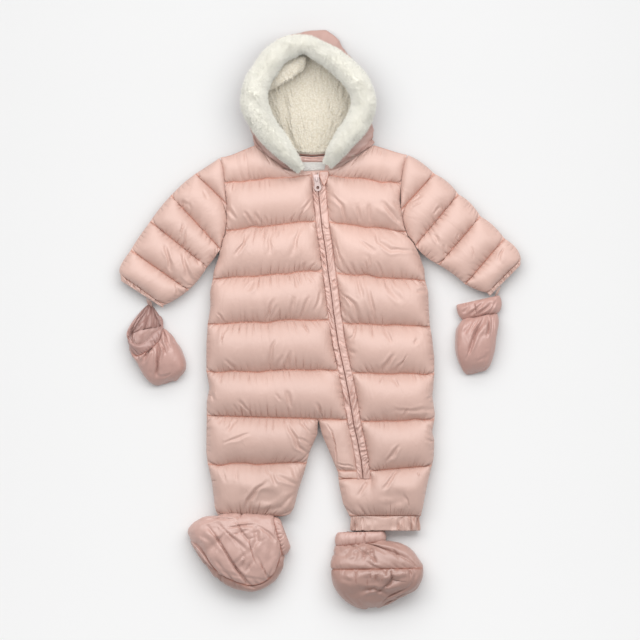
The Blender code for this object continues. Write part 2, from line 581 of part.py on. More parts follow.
def sleeve(name, sections, armhole, armhole_foot, inward):
    """One panel folded at the top of the arm: upper layer, fold, lower layer.

    inward is 1 where the body lies on the sleeve's +X side and -1 where it lies on its -X side.
    """
    outer = []
    inner = []
    steps = CHANNEL_STEPS[1:]
    positions = [0.0] + [channel + step for channel in range(SLEEVE_CHANNELS) for step in steps]
    for position in positions:
        section = smooth_section(sections, position)
        share = position - int(position) if position < SLEEVE_CHANNELS else 1.0
        near = [x_at(armhole, section[3] + step) for step in (-3.0, 0.0, 3.0)]
        limit = (min(near) if inward > 0 else max(near)) - inward * ARMHOLE_GAP
        if inward * section[2] > inward * limit and section[3] > armhole_foot:
            section[2] = limit
        width = math.hypot(section[2] - section[0], section[3] - section[1])
        padding = puffed(share) * min(width / SLEEVE_FULL_WIDTH, 1.0)
        from_hem = (SLEEVE_CHANNELS - position) * SLEEVE_CHANNEL_RUN
        for across in reversed(SLEEVE_COLUMNS[1:]):
            x, y = sleeve_point(section, across)
            puff = padding * rounded(across * width, SIDE_ROUND)
            puff *= rounded((1.0 - across) * width, SIDE_ROUND)
            high, low = front_height(puff)
            outer.append((x, y, high))
            inner.append((x, y, low))
        outer.append((section[0], section[1], SEAM_LEVEL))
        inset = min(SLEEVE_FOLD_WALL, 0.35 * SLEEVE_COLUMNS[1] * max(width, 1.0)) / max(width, 1e-6)
        inner.append((*sleeve_point(section, inset), SEAM_LEVEL))
        for across in SLEEVE_COLUMNS[1:]:
            x, y = sleeve_point(section, across)
            down = rounded(across * width, BACK_ROUND) * rounded((1.0 - across) * width, BACK_ROUND)
            down *= rounded(from_hem, BACK_ROUND / 2.0) * rounded(position * SHOULDER_RUN, BACK_ROUND)
            low = (SEAM_LEVEL - GAP_HALF - WALL) * (1.0 - down)
            outer.append((x, y, low))
            inner.append((x, y, SEAM_LEVEL - GAP_HALF))
    columns = 2 * len(SLEEVE_COLUMNS) - 1
    cloth_wall(name, outer, inner, grid_faces(len(positions), columns), "pink_nylon")


def sleeve_cuff(name, hem, edge):
    """Gathered and piped end of a sleeve, folded flat like the sleeve."""
    hem = np.array(hem)
    edge = np.array(edge)
    length = math.hypot(*(edge - hem)[:2])
    start = hem + (edge - hem) * SEAM_GAP / length
    steps = 2 * CUFF_WAVES
    outer = []
    inner = []
    for row, section in enumerate((start, (start + edge) / 2.0, edge)):
        for layer in (1, -1):
            order = range(steps, -1, -1) if layer > 0 else range(1, steps + 1)
            for step in order:
                across = step / steps
                x, y = sleeve_point(section, across)
                wave = CUFF_WAVE_HEIGHT * (1 + (-1) ** step) / 2.0 * CUFF_WAVE_ROWS[row]
                if step == 0:
                    outer.append((x, y, SEAM_LEVEL))
                    inner.append((*sleeve_point(section, CUFF_FOLD / steps), SEAM_LEVEL))
                    continue
                near = SEAM_LEVEL + layer * GAP_HALF
                outer.append((x, y, near + layer * (WALL + wave)))
                inner.append((x, y, near))
    cloth_wall(name, outer, inner, grid_faces(3, 2 * steps + 1), "pink_nylon")


def hood_sections():
    """Points of the shell's outer skin, station by station from rim to neck seam."""
    rows = []
    for station, (tx, ty, _, wx, wy, sx, sy, sz) in enumerate(HOOD):
        rim = np.array((tx, ty, HOOD_RIM))
        wide = np.array((wx, wy, HOOD_WIDEST))
        seam = np.array((sx, sy, sz))
        in_back = HOOD_BACK_FROM < station < HOOD_BACK_TO
        if in_back:
            flat = seam[:2] - wide[:2]
            reach = np.linalg.norm(flat)
            along = flat / reach
            section = [rim, (rim + wide) / 2.0 + np.array((0.0, 0.0, HOOD_BULGE)), wide]
            for run, height in HOOD_TURN:
                section.append(np.array((*(wide[:2] + along * run), height)))
            flat_from = HOOD_TURN[-1][0]
            for share in HOOD_FLAT_STEPS:
                point = wide[:2] + along * (flat_from + (reach - flat_from) * share)
                section.append(np.array((*point, 0.0)))
            section.append(seam)
        else:
            at_corner = station in (HOOD_BACK_FROM, HOOD_BACK_TO)
            wide[2] = HOOD_CORNER_WIDEST if at_corner else HOOD_COLLAR_WIDEST
            section = [rim, (rim + wide) / 2.0, wide]
            for share in HOOD_COLLAR_STEPS:
                section.append(wide + (seam - wide) * share)
        rows.append(section)
    return np.array(rows)


def skin_normals(points):
    """Unit normals of a grid of points, pointing into the bowl."""
    along = np.gradient(points, axis=0)
    down = np.gradient(points, axis=1)
    normals = np.cross(down, along)
    normals[:, 0, 2] = 0.0
    return normals / np.linalg.norm(normals, axis=2, keepdims=True)


def hood():
    """Shell in three panels, with the lining inside it."""
    skin = hood_sections()
    normals = skin_normals(skin)
    stations, depth = skin.shape[:2]
    shell_inner = skin + normals * HOOD_SHELL_WALL
    for name, first, last in HOOD_PANELS:
        outer = skin[first: last + 1].copy()
        inner = shell_inner[first: last + 1].copy()
        for grid in (outer, inner):
            if first > 0:
                step = grid[1] - grid[0]
                grid[0] += step * HOOD_PANEL_GAP / np.linalg.norm(step, axis=1)[:, None]
        cloth_wall(name, outer.reshape(-1, 3), inner.reshape(-1, 3),
                   grid_triangles(last - first + 1, depth), "pink_nylon")
    walls = np.array([HOOD_LINING_WALL if HOOD_BACK_FROM < i < HOOD_BACK_TO else HOOD_LINING_HEM
                      for i in range(stations)])[:, None, None]
    lining_outer = shell_inner + normals * HOOD_LINING_GAP
    for corner in (HOOD_BACK_FROM, HOOD_BACK_TO):
        inward = np.array(HOOD_MIDDLE) - lining_outer[corner, :, :2]
        inward /= np.linalg.norm(inward, axis=1)[:, None]
        lining_outer[corner, 1:, :2] += inward[1:] * HOOD_CORNER_EASE
    lining_inner = lining_outer + normals * walls
    cloth_wall("hood_lining", lining_outer.reshape(-1, 3), lining_inner.reshape(-1, 3),
               grid_triangles(stations, depth), "cream_sherpa")


def hood_trim():
    """Roll of plush round the face opening, open at the neck."""
    centres = np.array([row[:2] for row in HOOD])
    along = np.gradient(centres, axis=0)
    along /= np.linalg.norm(along, axis=1)[:, None]
    build = bmesh.new()
    rings = []
    for (x, y), (dx, dy), row in zip(centres, along, HOOD):
        half = row[2]
        height = min(half, TRIM_HEIGHT)
        middle = HOOD_RIM + SEAM_GAP + height
        ring = []
        for side in range(TRIM_SIDES):
            angle = 2.0 * math.pi * side / TRIM_SIDES
            out = half * math.cos(angle)
            point = Vector((x + dy * out, y - dx * out, middle + height * math.sin(angle)))
            ring.append(build.verts.new(point * MM))
        rings.append(ring)
    for first, second in zip(rings, rings[1:]):
        for i in range(TRIM_SIDES):
            j = (i + 1) % TRIM_SIDES
            build.faces.new((first[i], first[j], second[j], second[i]))
    build.faces.new(rings[0])
    build.faces.new(rings[-1])
    make_object("hood_trim", build, "cream_plush")


def extruded(name, outline, low, high, material):
    """Flat plate of the given outline between two heights."""
    count = len(outline)
    outer = [(x, y, high) for x, y in outline]
    inner = [(x, y, low) for x, y in outline]
    return cloth_wall(name, outer, inner, [tuple(range(count))], material)


def neck():
    """Facing strip and bare label on the inside of the back neck, and the zip's chin guard."""
    on_back = SEAM_LEVEL - GAP_HALF + SEAM_GAP
    extruded("neck_facing", NECK_FACING, on_back, on_back + FACING_WALL, "pink_nylon")
    extruded("label", LABEL, on_back, on_back + LABEL_WALL, "white_label")
    low = PLACKET_TOP + PLACKET_PUCKER + SEAM_GAP
    extruded("chin_guard", CHIN_GUARD, low, low + GUARD_WALL, "pink_nylon")


def zip_strips():
    """Two puckered placket strips and the closed zip chain between them."""
    low = SEAM_LEVEL + GAP_HALF + SEAM_GAP
    step = (PLACKET_FOOT - PLACKET_HEAD) / (PLACKET_ROWS - 1)
    rows = [PLACKET_HEAD + step * i for i in range(PLACKET_ROWS)]
    strips = (("placket_right", -PLACKET_RIGHT, -CHAIN_HALF - SEAM_GAP),
              ("placket_left", CHAIN_HALF + SEAM_GAP, PLACKET_LEFT))
    for name, start, end in strips:
        outer = []
        inner = []
        for number, y in enumerate(rows):
            phase = math.pi * PLACKET_PUCKERS * number / (PLACKET_ROWS - 1) * 2.0
            pucker = 0.0 if y > PLACKET_PLAIN else PLACKET_PUCKER * math.cos(phase)
            for share in (0.0, 0.5, 1.0):
                x = x_at(ZIP_LINE, y) + start + (end - start) * share
                crown = 0.0 if share in (0.0, 1.0) else 1.0
                outer.append((x, y, PLACKET_TOP + PLACKET_CROWN * (crown - 1.0) + pucker * crown))
                inner.append((x, y, low))
        cloth_wall(name, outer, inner, grid_faces(PLACKET_ROWS, 3), "pink_nylon")
    outer = []
    inner = []
    chain_rows = rows[CHAIN_FIRST_ROW::2]
    for y in chain_rows:
        for offset in (-CHAIN_HALF, CHAIN_HALF):
            x = x_at(ZIP_LINE, y) + offset
            outer.append((x, y, CHAIN_TOP))
            inner.append((x, y, low))
    cloth_wall("zip_chain", outer, inner, grid_faces(len(chain_rows), 2), "pink_zip")


def flattened(value, power):
    return math.copysign(abs(value) ** power, value)


def bag_rings(table, positions, sides, wall=0.0):
    """Rings of a bag that lies flat. positions holds (lower row, upper row) for each ring."""
    table = np.array(table)
    rows = np.arange(len(table))
    rings = []
    for lower, upper in positions:
        ring = []
        for side in sides:
            angle = 2.0 * math.pi * (side + 0.5) / BAG_SIDES
            lift = flattened(math.sin(angle), BAG_LIFT)
            out = flattened(math.cos(angle), BAG_OUT)
            at = lower + (upper - lower) * (1.0 + lift) / 2.0
            ax, ay, bx, by, height = (np.interp(at, rows, table[:, i]) for i in range(5))
            half = math.hypot(bx - ax, by - ay) / 2.0
            keep = max(half - wall, BAG_LEAST) / half
            tall = max(height / 2.0 - wall, BAG_LEAST)
            x = (ax + bx) / 2.0 + (bx - ax) / 2.0 * out * keep
            y = (ay + by) / 2.0 + (by - ay) / 2.0 * out * keep
            z = height / 2.0 + tall * lift
            floor = height / 2.0 - tall
            if z < floor + BAG_FLOOR * height and lift < 0.0:
                z = floor
            ring.append((x, y, z))
        rings.append(ring)
    return rings


def bag(name, table, positions, wall, closed, material="pink_nylon", sides=None):
    """Wall of a bag over the given rings; sides picks a run of its columns."""
    wrapped = sides is None
    sides = sides or range(BAG_SIDES)
    outer_rings = bag_rings(table, positions, sides)
    inner_rings = bag_rings(table, positions, sides, wall)
    columns = len(sides)
    outer = [point for ring in outer_rings for point in ring]
    inner = [point for ring in inner_rings for point in ring]
    faces = grid_faces(len(positions), columns, wrapped)
    if closed:
        last = (len(positions) - 1) * columns
        faces.append(tuple(range(last, last + columns)))
        tip = np.mean(outer_rings[-1], axis=0) - np.mean(outer_rings[-2], axis=0)
        tip *= wall / np.linalg.norm(tip)
        for i in range(columns):
            inner[last + i] = tuple(np.array(inner[last + i]) - tip)
    cloth_wall(name, outer, inner, faces, material)


def level(*rows):
    return [(row, row) for row in rows]


def mittens():
    bag("mitten_right_cuff", MITTEN_RIGHT, [(0.0, 3.5), (1.2, 3.8), (2.4, 4.2)], MITTEN_WALL, False)
    hand = [(2.5, 4.28), (3.6, 4.8), (5.0, 5.4), (6.2, 6.3), (7.1, 7.15), (7.8, 7.8)]
    bag("mitten_right", MITTEN_RIGHT, hand, MITTEN_WALL, True)
    bag("mitten_left_cuff", MITTEN_LEFT, level(0.0, 1.0, 1.96), MITTEN_WALL, False)
    bag("mitten_left", MITTEN_LEFT, level(2.0, 2.6, 3.6, 4.8, 5.8, 6.8), MITTEN_WALL, True)


def booties():
    bag("bootie_right_collar", BOOTIE_RIGHT, level(0.0, 0.5, 0.97), BOOTIE_WALL, False)
    rings = level(1.0, 2.0, 3.0, 4.0, 5.0, 6.0, 7.0, 7.75)
    first, last = SOLE_SIDES
    upper = [last - BAG_SIDES + SOLE_GAP, *range(last - BAG_SIDES + 1, first), first - SOLE_GAP]
    sole = [first + SOLE_GAP, *range(first + 1, last), last - SOLE_GAP]
    bag("bootie_right", BOOTIE_RIGHT, rings, BOOTIE_WALL, True, sides=upper)
    bag("bootie_right_sole", BOOTIE_RIGHT, rings, BOOTIE_WALL, True, sides=sole)
    bag("bootie_left_collar", BOOTIE_LEFT, level(0.0, 0.5, 0.97), BOOTIE_WALL, False)
    bag("bootie_left", BOOTIE_LEFT, level(1.0, 1.7, 2.5, 3.4), BOOTIE_WALL, False)
    bag("bootie_left_sole", BOOTIE_LEFT, level(3.42, 4.2, 5.0, 6.0, 7.0, 7.7), BOOTIE_WALL, True)


def mitten_tab(name, loop):
    """Short loop of cloth from a sleeve's cuff to its mitten."""
    *middle, (half_x, half_y) = loop
    outer = []
    inner = []
    for x, y, z in middle:
        for side in (-1.0, 1.0):
            outer.append((x + side * half_x, y + side * half_y, z + TAB_WALL / 2.0))
            inner.append((x + side * half_x, y + side * half_y, z - TAB_WALL / 2.0))
    cloth_wall(name, outer, inner, grid_faces(len(middle), 2), "pink_nylon")


def leg_cuff():
    """Elastic cuff at the end of the left leg, gathered into a flattened ring."""
    sides = 2 * LEG_CUFF_GATHERS
    outer = []
    inner = []
    for y, half, gathered in LEG_CUFF_ROWS:
        for side in range(sides):
            angle = 2.0 * math.pi * side / sides
            out = flattened(math.cos(angle), LEG_CUFF_OUT)
            lift = flattened(math.sin(angle), LEG_CUFF_LIFT)
            tall = LEG_CUFF_HALF + LEG_CUFF_GATHER_HEIGHT * (-1) ** side * gathered
            outer.append((LEG_CUFF_MIDDLE_X + half * out, y, LEG_CUFF_MIDDLE + tall * lift))
            keep = half - LEG_CUFF_WALL
            inner.append((LEG_CUFF_MIDDLE_X + keep * out, y, LEG_CUFF_MIDDLE + (tall - LEG_CUFF_WALL) * lift))
    faces = grid_faces(len(LEG_CUFF_ROWS), sides, True)
    cloth_wall("leg_cuff_left", outer, inner, faces, "pink_nylon")


def turned(point):
    """A point of the pull or slider: x across, y towards the foot, z up from the axis."""
    across, down, up = point
    ax, ay, az = PULL_AXIS
    return (ax + across * math.cos(PULL_TURN) + down * math.sin(PULL_TURN),
            ay + across * math.sin(PULL_TURN) - down * math.cos(PULL_TURN), az + up)


def add_plate(build, layers):
    """A closed plate between two copies of an outline, given in millimetres."""
    first, second = [[build.verts.new(Vector(point) * MM) for point in layer] for layer in layers]
    build.faces.new(first)
    build.faces.new(second[::-1])
    for i in range(len(first)):
        j = (i + 1) % len(first)
        build.faces.new((first[j], first[i], second[i], second[j]))


def slider():
    """Slider body with the bridge that holds the pull."""
    width, length, low, high = SLIDER
    bridge, half, clear, top = BRIDGE
    base = low - PULL_AXIS[2]
    roof = high - PULL_AXIS[2]
    body = bmesh.new()
    plan = ((-1.0, -1.0), (1.0, -1.0), (1.0, 1.0), (-1.0, 1.0))
    corners = [(x * width / 2.0, y * length / 2.0, z) for z in (base, roof) for x, y in plan]
    verts = [body.verts.new(Vector(turned(corner)) * MM) for corner in corners]
    for face in ((0, 3, 2, 1), (4, 5, 6, 7), (0, 1, 5, 4), (1, 2, 6, 5), (2, 3, 7, 6), (3, 0, 4, 7)):
        body.faces.new([verts[i] for i in face])
    item = make_object("zip_slider", body, "pink_metal")
    arch = bmesh.new()
    root = roof - BRIDGE_SUNK
    inside = half - BRIDGE_WALL
    outline = ((-half, root), (-half, top), (half, top), (half, root),
               (inside, root), (inside, clear), (-inside, clear), (-inside, root))
    add_plate(arch, [[turned((x, y, z)) for y, z in outline] for x in (-bridge / 2.0, bridge / 2.0)])
    helper = make_object("slider_bridge", arch, "pink_metal")
    helper.hide_render = True
    helper.display_type = "WIRE"
    join = item.modifiers.new("bridge", "BOOLEAN")
    join.operation = "UNION"
    join.object = helper


def arc_points(middle, radius, until, step):
    """Points of a circle about (0, middle), from 0 degrees on."""
    angles = [math.radians(degrees) for degrees in range(0, until, step)]
    return [(radius * math.cos(angle), middle + radius * math.sin(angle)) for angle in angles]


def pull():
    """Pear-shaped pull tab: an eye round the bridge at its top, a round hole near its foot."""
    build = bmesh.new()
    half = PULL_FOOT_WIDTH / 2.0
    neck_half = PULL_TOP_WIDTH / 2.0
    foot = PULL_LENGTH - half
    head, shoulder = PULL_NECK
    outline = [(neck_half, head), (neck_half, shoulder), *arc_points(foot, half, 181, ARC_STEP),
               (-neck_half, shoulder), (-neck_half, head)]
    place = Vector(PULL_AXIS)

    def point(x, y, z):
        down = y * math.cos(PULL_DROOP) + z * math.sin(PULL_DROOP)
        up = z * math.cos(PULL_DROOP) - y * math.sin(PULL_DROOP)
        return Vector(turned((x, down, up))) - place

    faces = (-PULL_THICK / 2.0, PULL_THICK / 2.0)
    add_plate(build, [[point(x, y, z) for x, y in outline] for z in faces])
    item = make_object("zip_pull", build, "pink_metal")
    eye = [(-EYE_WIDTH / 2.0, EYE_FROM), (EYE_WIDTH / 2.0, EYE_FROM), (EYE_WIDTH / 2.0, EYE_TO),
           (-EYE_WIDTH / 2.0, EYE_TO)]
    at, radius = PULL_HOLE
    ring = arc_points(at, radius, 360, HOLE_STEP)
    for name, hole in (("pull_eye_cutter", eye), ("pull_hole_cutter", ring)):
        cut = bmesh.new()
        add_plate(cut, [[point(x, y, z) for x, y in hole] for z in (-PULL_THICK, PULL_THICK)])
        cutter = make_object(name, cut, "pink_metal")
        cutter.hide_render = True
        cutter.display_type = "WIRE"
        cutter.location = place * MM
        hole_cut = item.modifiers.new(name, "BOOLEAN")
        hole_cut.operation = "DIFFERENCE"
        hole_cut.object = cutter
    item.location = place * MM


def stand_on_origin():
    """Move everything so that the origin is the middle of the underside."""
    shown = [item for item in bpy.data.objects if not item.hide_render]
    points = [item.location + vertex.co for item in shown for vertex in item.data.vertices]
    for axis in (0, 1):
        reach = [point[axis] for point in points]
        middle = (min(reach) + max(reach)) / 2.0
        for item in bpy.data.objects:
            item.location[axis] -= middle


def main():
    for item in list(bpy.data.objects):
        bpy.data.objects.remove(item)
    MATERIALS.update(make_materials())
    front_right()
    front_left()
    back()
    sleeve("sleeve_right", SLEEVE_RIGHT, SIDE_RIGHT, ARMHOLE_RIGHT_FOOT, 1.0)
    sleeve("sleeve_left", SLEEVE_LEFT, SIDE_LEFT, ARMHOLE_LEFT_FOOT, -1.0)
    sleeve_cuff("sleeve_cuff_right", SLEEVE_RIGHT[-1], SLEEVE_CUFF_RIGHT)
    sleeve_cuff("sleeve_cuff_left", SLEEVE_LEFT[-1], SLEEVE_CUFF_LEFT)
    hood()
    hood_trim()
    neck()
    zip_strips()
    slider()
    pull()
    mittens()
    mitten_tab("mitten_tab_right", MITTEN_TAB_RIGHT)
    mitten_tab("mitten_tab_left", MITTEN_TAB_LEFT)
    booties()
    leg_cuff()
    stand_on_origin()


MATERIALS = {}
main()
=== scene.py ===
"""Looks of the padded baby snowsuit, laid flat and seen from straight above.

Tables and sizes are in millimetres, from the same axes as the part's own tables; SHIFT takes
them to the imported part. Every padded panel is a sheet of cloth that a small solver inflates
between its pinned seams, with more cloth than the seams hold, so that it puckers as sewn cloth does.
"""

import math

import bmesh
import bpy
import numpy as np
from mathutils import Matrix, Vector


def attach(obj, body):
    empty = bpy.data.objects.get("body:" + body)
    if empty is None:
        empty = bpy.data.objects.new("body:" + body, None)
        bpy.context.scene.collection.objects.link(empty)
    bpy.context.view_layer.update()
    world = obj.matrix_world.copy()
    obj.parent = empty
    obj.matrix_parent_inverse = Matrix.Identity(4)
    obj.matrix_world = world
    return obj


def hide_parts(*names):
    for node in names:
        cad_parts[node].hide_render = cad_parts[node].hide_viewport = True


MM = 0.001
SHIFT = np.array((-0.21, -1.914, 0.0))
BODY = "garment"

CELL = 2.6  # side of a cloth cell
STEPS = 240  # solver steps
FINE_STEPS = 110  # steps of the finer cloth
SEAM_LEVEL = 17.0
LOW = 17.15  # inner side of the front
SEAM_TOP = 20.15  # cloth pressed flat at a seam of the front
SIDE_TOP = 17.9  # cloth at the side seams
BACK_ROUND = 22.0
BACK_TOP = 16.85  # inner side of the back
CLOTH_LOW = 18.0  # the front's puffed cloth stays over this
REST, LEAST_Z = 0.05, 0.03  # cloth that lies on the floor, and the lowest that any may end up
FAR = 1e9
TINY, SMALL = 1e-9, 1e-6  # keep lengths off zero where they divide
PLACKET_RIGHT, PLACKET_LEFT, PLACKET_GAP = 8.0, 11.0, 0.7
PLACKET_FOOT = -237.5
PLACKET_PULLS = ((228, 6.0), (272, 7.0), (283, 6.0), (346, 6.0), (378, 8.0), (395, 6.0), (430, 8.0))
SIDE_RIGHT = (
    (-149.0, 243.0), (-147.0, 235.0), (-143.0, 204.0), (-139.5, 174.0), (-141.0, 132.0),
    (-147.0, 111.0), (-151.5, 94.5), (-159.0, 73.5), (-160.5, 61.0), (-164.5, 42.0),
    (-164.0, 20.0), (-168.0, -6.0), (-170.0, -38.0), (-170.0, -76.5), (-165.5, -102.0),
    (-169.5, -121.5), (-169.5, -142.0), (-170.0, -180.0), (-170.0, -198.0), (-168.0, -214.5),
    (-162.0, -241.5), (-159.0, -264.0), (-156.0, -294.0),
)
SIDE_LEFT = (
    (130.0, 247.0), (121.5, 206.0), (119.5, 177.0), (121.5, 165.0), (126.0, 139.5),
    (132.0, 123.0), (142.0, 111.0), (148.5, 98.0), (156.0, 76.0), (157.5, 58.5),
    (162.0, 42.0), (163.0, 13.5), (164.5, -9.0), (168.0, -28.5), (171.0, -57.0),
    (171.0, -81.0), (169.5, -103.0), (168.0, -113.0), (172.0, -141.0), (171.0, -150.0),
    (168.0, -168.0), (171.0, -180.0), (170.0, -207.0), (167.0, -219.0), (160.0, -249.0),
    (155.0, -274.0), (151.0, -293.0),
)
INSIDE_RIGHT = ((-3.0, -149.0), (-4.0, -171.0), (-16.5, -199.5), (-19.5, -213.0), (-24.0, -229.5),
                (-33.0, -256.5), (-42.0, -294.0))
INSIDE_LEFT = ((-2.4, -149.0), (3.0, -171.0), (15.0, -199.5), (27.0, -228.0), (28.5, -246.0),
               (34.5, -274.5), (44.0, -293.0))
ZIP_LINE = (
    (-4.0, 223.0), (-2.5, 193.0), (3.0, 138.0), (9.0, 100.5), (12.0, 73.5), (16.5, 42.0),
    (20.0, 13.0), (27.0, -34.5), (34.5, -69.0), (38.0, -85.5), (43.0, -111.0), (46.5, -132.0),
    (51.0, -159.0), (56.0, -180.0), (61.5, -210.0), (64.0, -232.5), (64.5, -240.0),
)
TOP_RIGHT = ((-149.0, 243.0), (-144.0, 243.8), (-135.0, 245.5), (-116.0, 253.5), (-97.0, 261.5),
             (-76.0, 240.5), (-55.0, 226.0), (-33.0, 219.2), (-12.2, 221.0))
TOP_LEFT = ((130.0, 247.0), (125.0, 248.0), (115.0, 250.5), (98.0, 256.0), (80.0, 261.5),
            (60.0, 247.0), (40.0, 233.5), (22.0, 227.0), (7.2, 223.5))
TOP_BACK = ((-149.0, 243.0), (-144.0, 243.8), (-130.0, 247.5), (-97.0, 261.0), (-58.0, 248.0),
            (-12.0, 244.0), (38.0, 248.0), (80.0, 261.0), (112.0, 251.5), (126.0, 247.8),
            (130.0, 247.0))
SEAMS_RIGHT = ((205.0, 217.0), (134.0, 148.0), (61.0, 74.0), (-6.0, 1.0), (-77.0, -75.0),
               (-143.0, -149.0))
LEG_SEAMS_RIGHT = ((-216.0, -214.0), (-293.6, -293.6))
STRIP_SEAMS = ((-149.0, -152.0), (-225.0, -226.0), (-237.5, -237.5))
SEAMS_LEFT = ((204.0, 217.5), (132.0, 147.0), (58.5, 70.0), (-10.0, -4.5), (-81.0, -79.5),
              (-149.0, -152.0), (-218.0, -226.0))
LEG_SEAMS_LEFT = ((-218.0, -226.0), (-237.8, -237.8), (-292.8, -292.8))
SEAMS_BACK = ((204.0, 204.0), (133.0, 133.0), (60.0, 60.0), (-8.0, -8.0), (-79.0, -79.0),
              (-149.0, -149.0))
LEG_SEAMS_BACK = ((-217.0, -217.0), (-293.0, -293.0))
RIGHT_COLUMNS = (0.0, 0.04, 0.12, 0.27, 0.45, 0.62, 0.78, 0.9, 1.0)
LEFT_COLUMNS = (0.0, 0.05, 0.14, 0.3, 0.5, 0.68, 0.84, 0.94, 1.0)
BACK_COLUMNS = (0.0, 0.03, 0.09, 0.2, 0.35, 0.49, 0.64, 0.79, 0.91, 0.97, 1.0)
# Sleeves: x and y of the fold, then of the inner side, at each seam and each channel's middle
SLEEVE_RIGHT = (
    (-150.5, 242.0, -149.4, 240.0), (-166.0, 232.0, -143.0, 206.0), (-186.0, 219.0, -140.0, 174.0),
    (-204.0, 205.0, -141.0, 138.0), (-223.0, 186.5, -149.0, 106.0), (-240.0, 167.0, -160.5, 89.5),
    (-254.0, 147.5, -169.0, 79.5), (-271.0, 124.0, -182.0, 60.5), (-283.0, 104.5, -197.0, 44.5),
    (-298.0, 82.0, -215.0, 31.5), (-299.0, 69.0, -234.0, 22.0),
)
SLEEVE_LEFT = (
    (131.5, 246.4, 130.6, 244.0), (150.0, 237.0, 122.0, 206.0), (171.0, 219.0, 121.5, 165.0),
    (191.5, 206.0, 127.0, 136.0), (207.0, 188.0, 142.0, 111.5), (225.0, 175.0, 158.0, 95.0),
    (240.0, 155.0, 178.0, 82.5), (258.5, 142.0, 198.0, 69.5), (276.0, 122.0, 217.5, 53.5),
    (294.0, 107.0, 235.0, 45.0), (300.5, 90.5, 250.0, 41.0),
)
SLEEVE_CUFF_RIGHT = (-297.5, 58.5, -235.0, 18.0)
SLEEVE_CUFF_LEFT = (300.0, 82.0, 254.0, 36.0)
# Hood, by station: x, y and half width of the trim, x and y of the widest place, x, y and z of the seam
HOOD = (
    (-29.0, 225.0, 5.5, -33.5, 223.5, -34.0, 221.5, 21.5),
    (-44.0, 239.0, 11.0, -53.0, 233.0, -57.0, 229.0, 21.5),
    (-65.0, 261.0, 15.5, -82.0, 251.0, -79.0, 245.0, 21.5),
    (-86.0, 285.0, 16.5, -99.0, 274.0, -97.5, 263.5, 17.5),
    (-99.0, 312.0, 16.5, -110.0, 306.0, -80.0, 257.5, 15.0),
    (-102.0, 333.0, 16.5, -114.0, 334.0, -64.0, 252.5, 14.0),
    (-96.0, 357.0, 16.5, -107.0, 363.0, -50.0, 249.5, 14.0),
    (-81.0, 380.0, 17.0, -90.0, 391.0, -39.0, 248.0, 14.0),
    (-62.0, 398.0, 17.0, -71.0, 413.0, -29.0, 246.8, 14.0),
    (-41.0, 408.0, 16.5, -47.0, 427.0, -20.0, 246.0, 14.0),
    (-18.0, 408.0, 15.5, -17.0, 432.5, -12.0, 245.6, 14.0),
    (3.0, 399.0, 15.5, 15.0, 429.5, -3.0, 246.0, 14.0),
    (24.0, 385.0, 17.0, 36.0, 405.0, 7.0, 246.8, 14.0),
    (48.0, 363.0, 18.0, 58.0, 377.0, 18.0, 248.0, 14.0),
    (63.0, 339.0, 18.0, 75.0, 345.0, 30.0, 249.5, 14.0),
    (65.0, 318.0, 18.0, 79.0, 320.0, 44.0, 252.0, 14.0),
    (56.0, 294.0, 18.0, 76.0, 296.0, 62.0, 257.0, 15.0),
    (39.0, 272.0, 16.5, 78.0, 275.0, 80.5, 263.5, 17.5),
    (23.0, 249.0, 13.0, 52.0, 249.0, 58.0, 248.5, 21.5),
    (12.0, 232.0, 7.0, 20.0, 231.0, 20.0, 229.5, 21.5),
)
# Mittens and booties, by ring: x and y of one side, x and y of the other side, and the height
MITTEN_RIGHT = (
    (-262.5, 24.0, -247.5, 21.0, 9.0), (-273.0, 9.0, -240.0, 6.0, 15.0),
    (-285.0, -9.0, -235.5, -7.5, 22.0),
    (-291.0, -25.5, -234.0, -16.5, 27.0), (-283.5, -43.5, -220.5, -30.0, 29.0),
    (-274.5, -58.5, -210.0, -43.5, 30.0), (-264.0, -76.5, -201.0, -61.5, 27.0),
    (-252.0, -90.0, -205.5, -73.5, 20.0), (-240.0, -96.0, -217.5, -88.5, 7.0),
)
MITTEN_LEFT = (
    (205.5, 23.0, 268.0, 37.0, 18.0), (208.5, 12.0, 273.0, 23.0, 20.0), (216.0, 0.0, 265.0, 10.5, 15.0),
    (207.0, -13.5, 264.0, -3.0, 26.0), (204.0, -33.0, 260.0, -28.5, 30.0),
    (205.5, -54.0, 256.5, -48.0, 28.0),
    (211.5, -67.5, 252.0, -64.5, 20.0), (220.5, -81.0, 243.0, -75.0, 7.0),
)
BOOTIE_RIGHT = (
    (-58.5, -302.0, -45.0, -337.5, 26.0), (-71.0, -294.4, -55.5, -354.0, 30.0),
    (-87.0, -293.3, -61.5, -375.0, 35.0), (-108.0, -292.9, -73.5, -397.5, 38.0),
    (-132.0, -292.9, -97.5, -408.0, 40.0), (-157.5, -293.2, -129.0, -399.0, 40.0),
    (-180.0, -295.0, -156.0, -379.5, 36.0), (-192.0, -309.0, -181.5, -346.5, 26.0),
    (-195.0, -319.5, -192.0, -331.5, 8.0),
)
BOOTIE_LEFT = (
    (27.0, -318.5, 94.5, -315.9, 20.0), (24.0, -339.0, 99.0, -331.5, 22.0),
    (25.5, -352.5, 132.0, -343.5, 34.0),
    (19.5, -366.0, 151.5, -363.0, 42.0), (18.0, -382.5, 154.5, -381.0, 44.0),
    (22.5, -399.0, 150.0, -393.0, 40.0),
    (36.0, -414.0, 123.0, -409.5, 30.0), (54.0, -424.5, 105.0, -420.0, 18.0),
    (72.0, -430.5, 87.0, -429.0, 6.0),
)
MITTEN_TAB_RIGHT = ((-256.3, 30.6, 16.9), (-255.8, 27.0, 11.0), (-255.0, 21.5, 3.6), (3.8, -2.4))
MITTEN_TAB_LEFT = ((267.9, 48.2, 16.9), (266.4, 43.0, 13.5), (263.9, 36.4, 10.2), (3.0, 2.6))
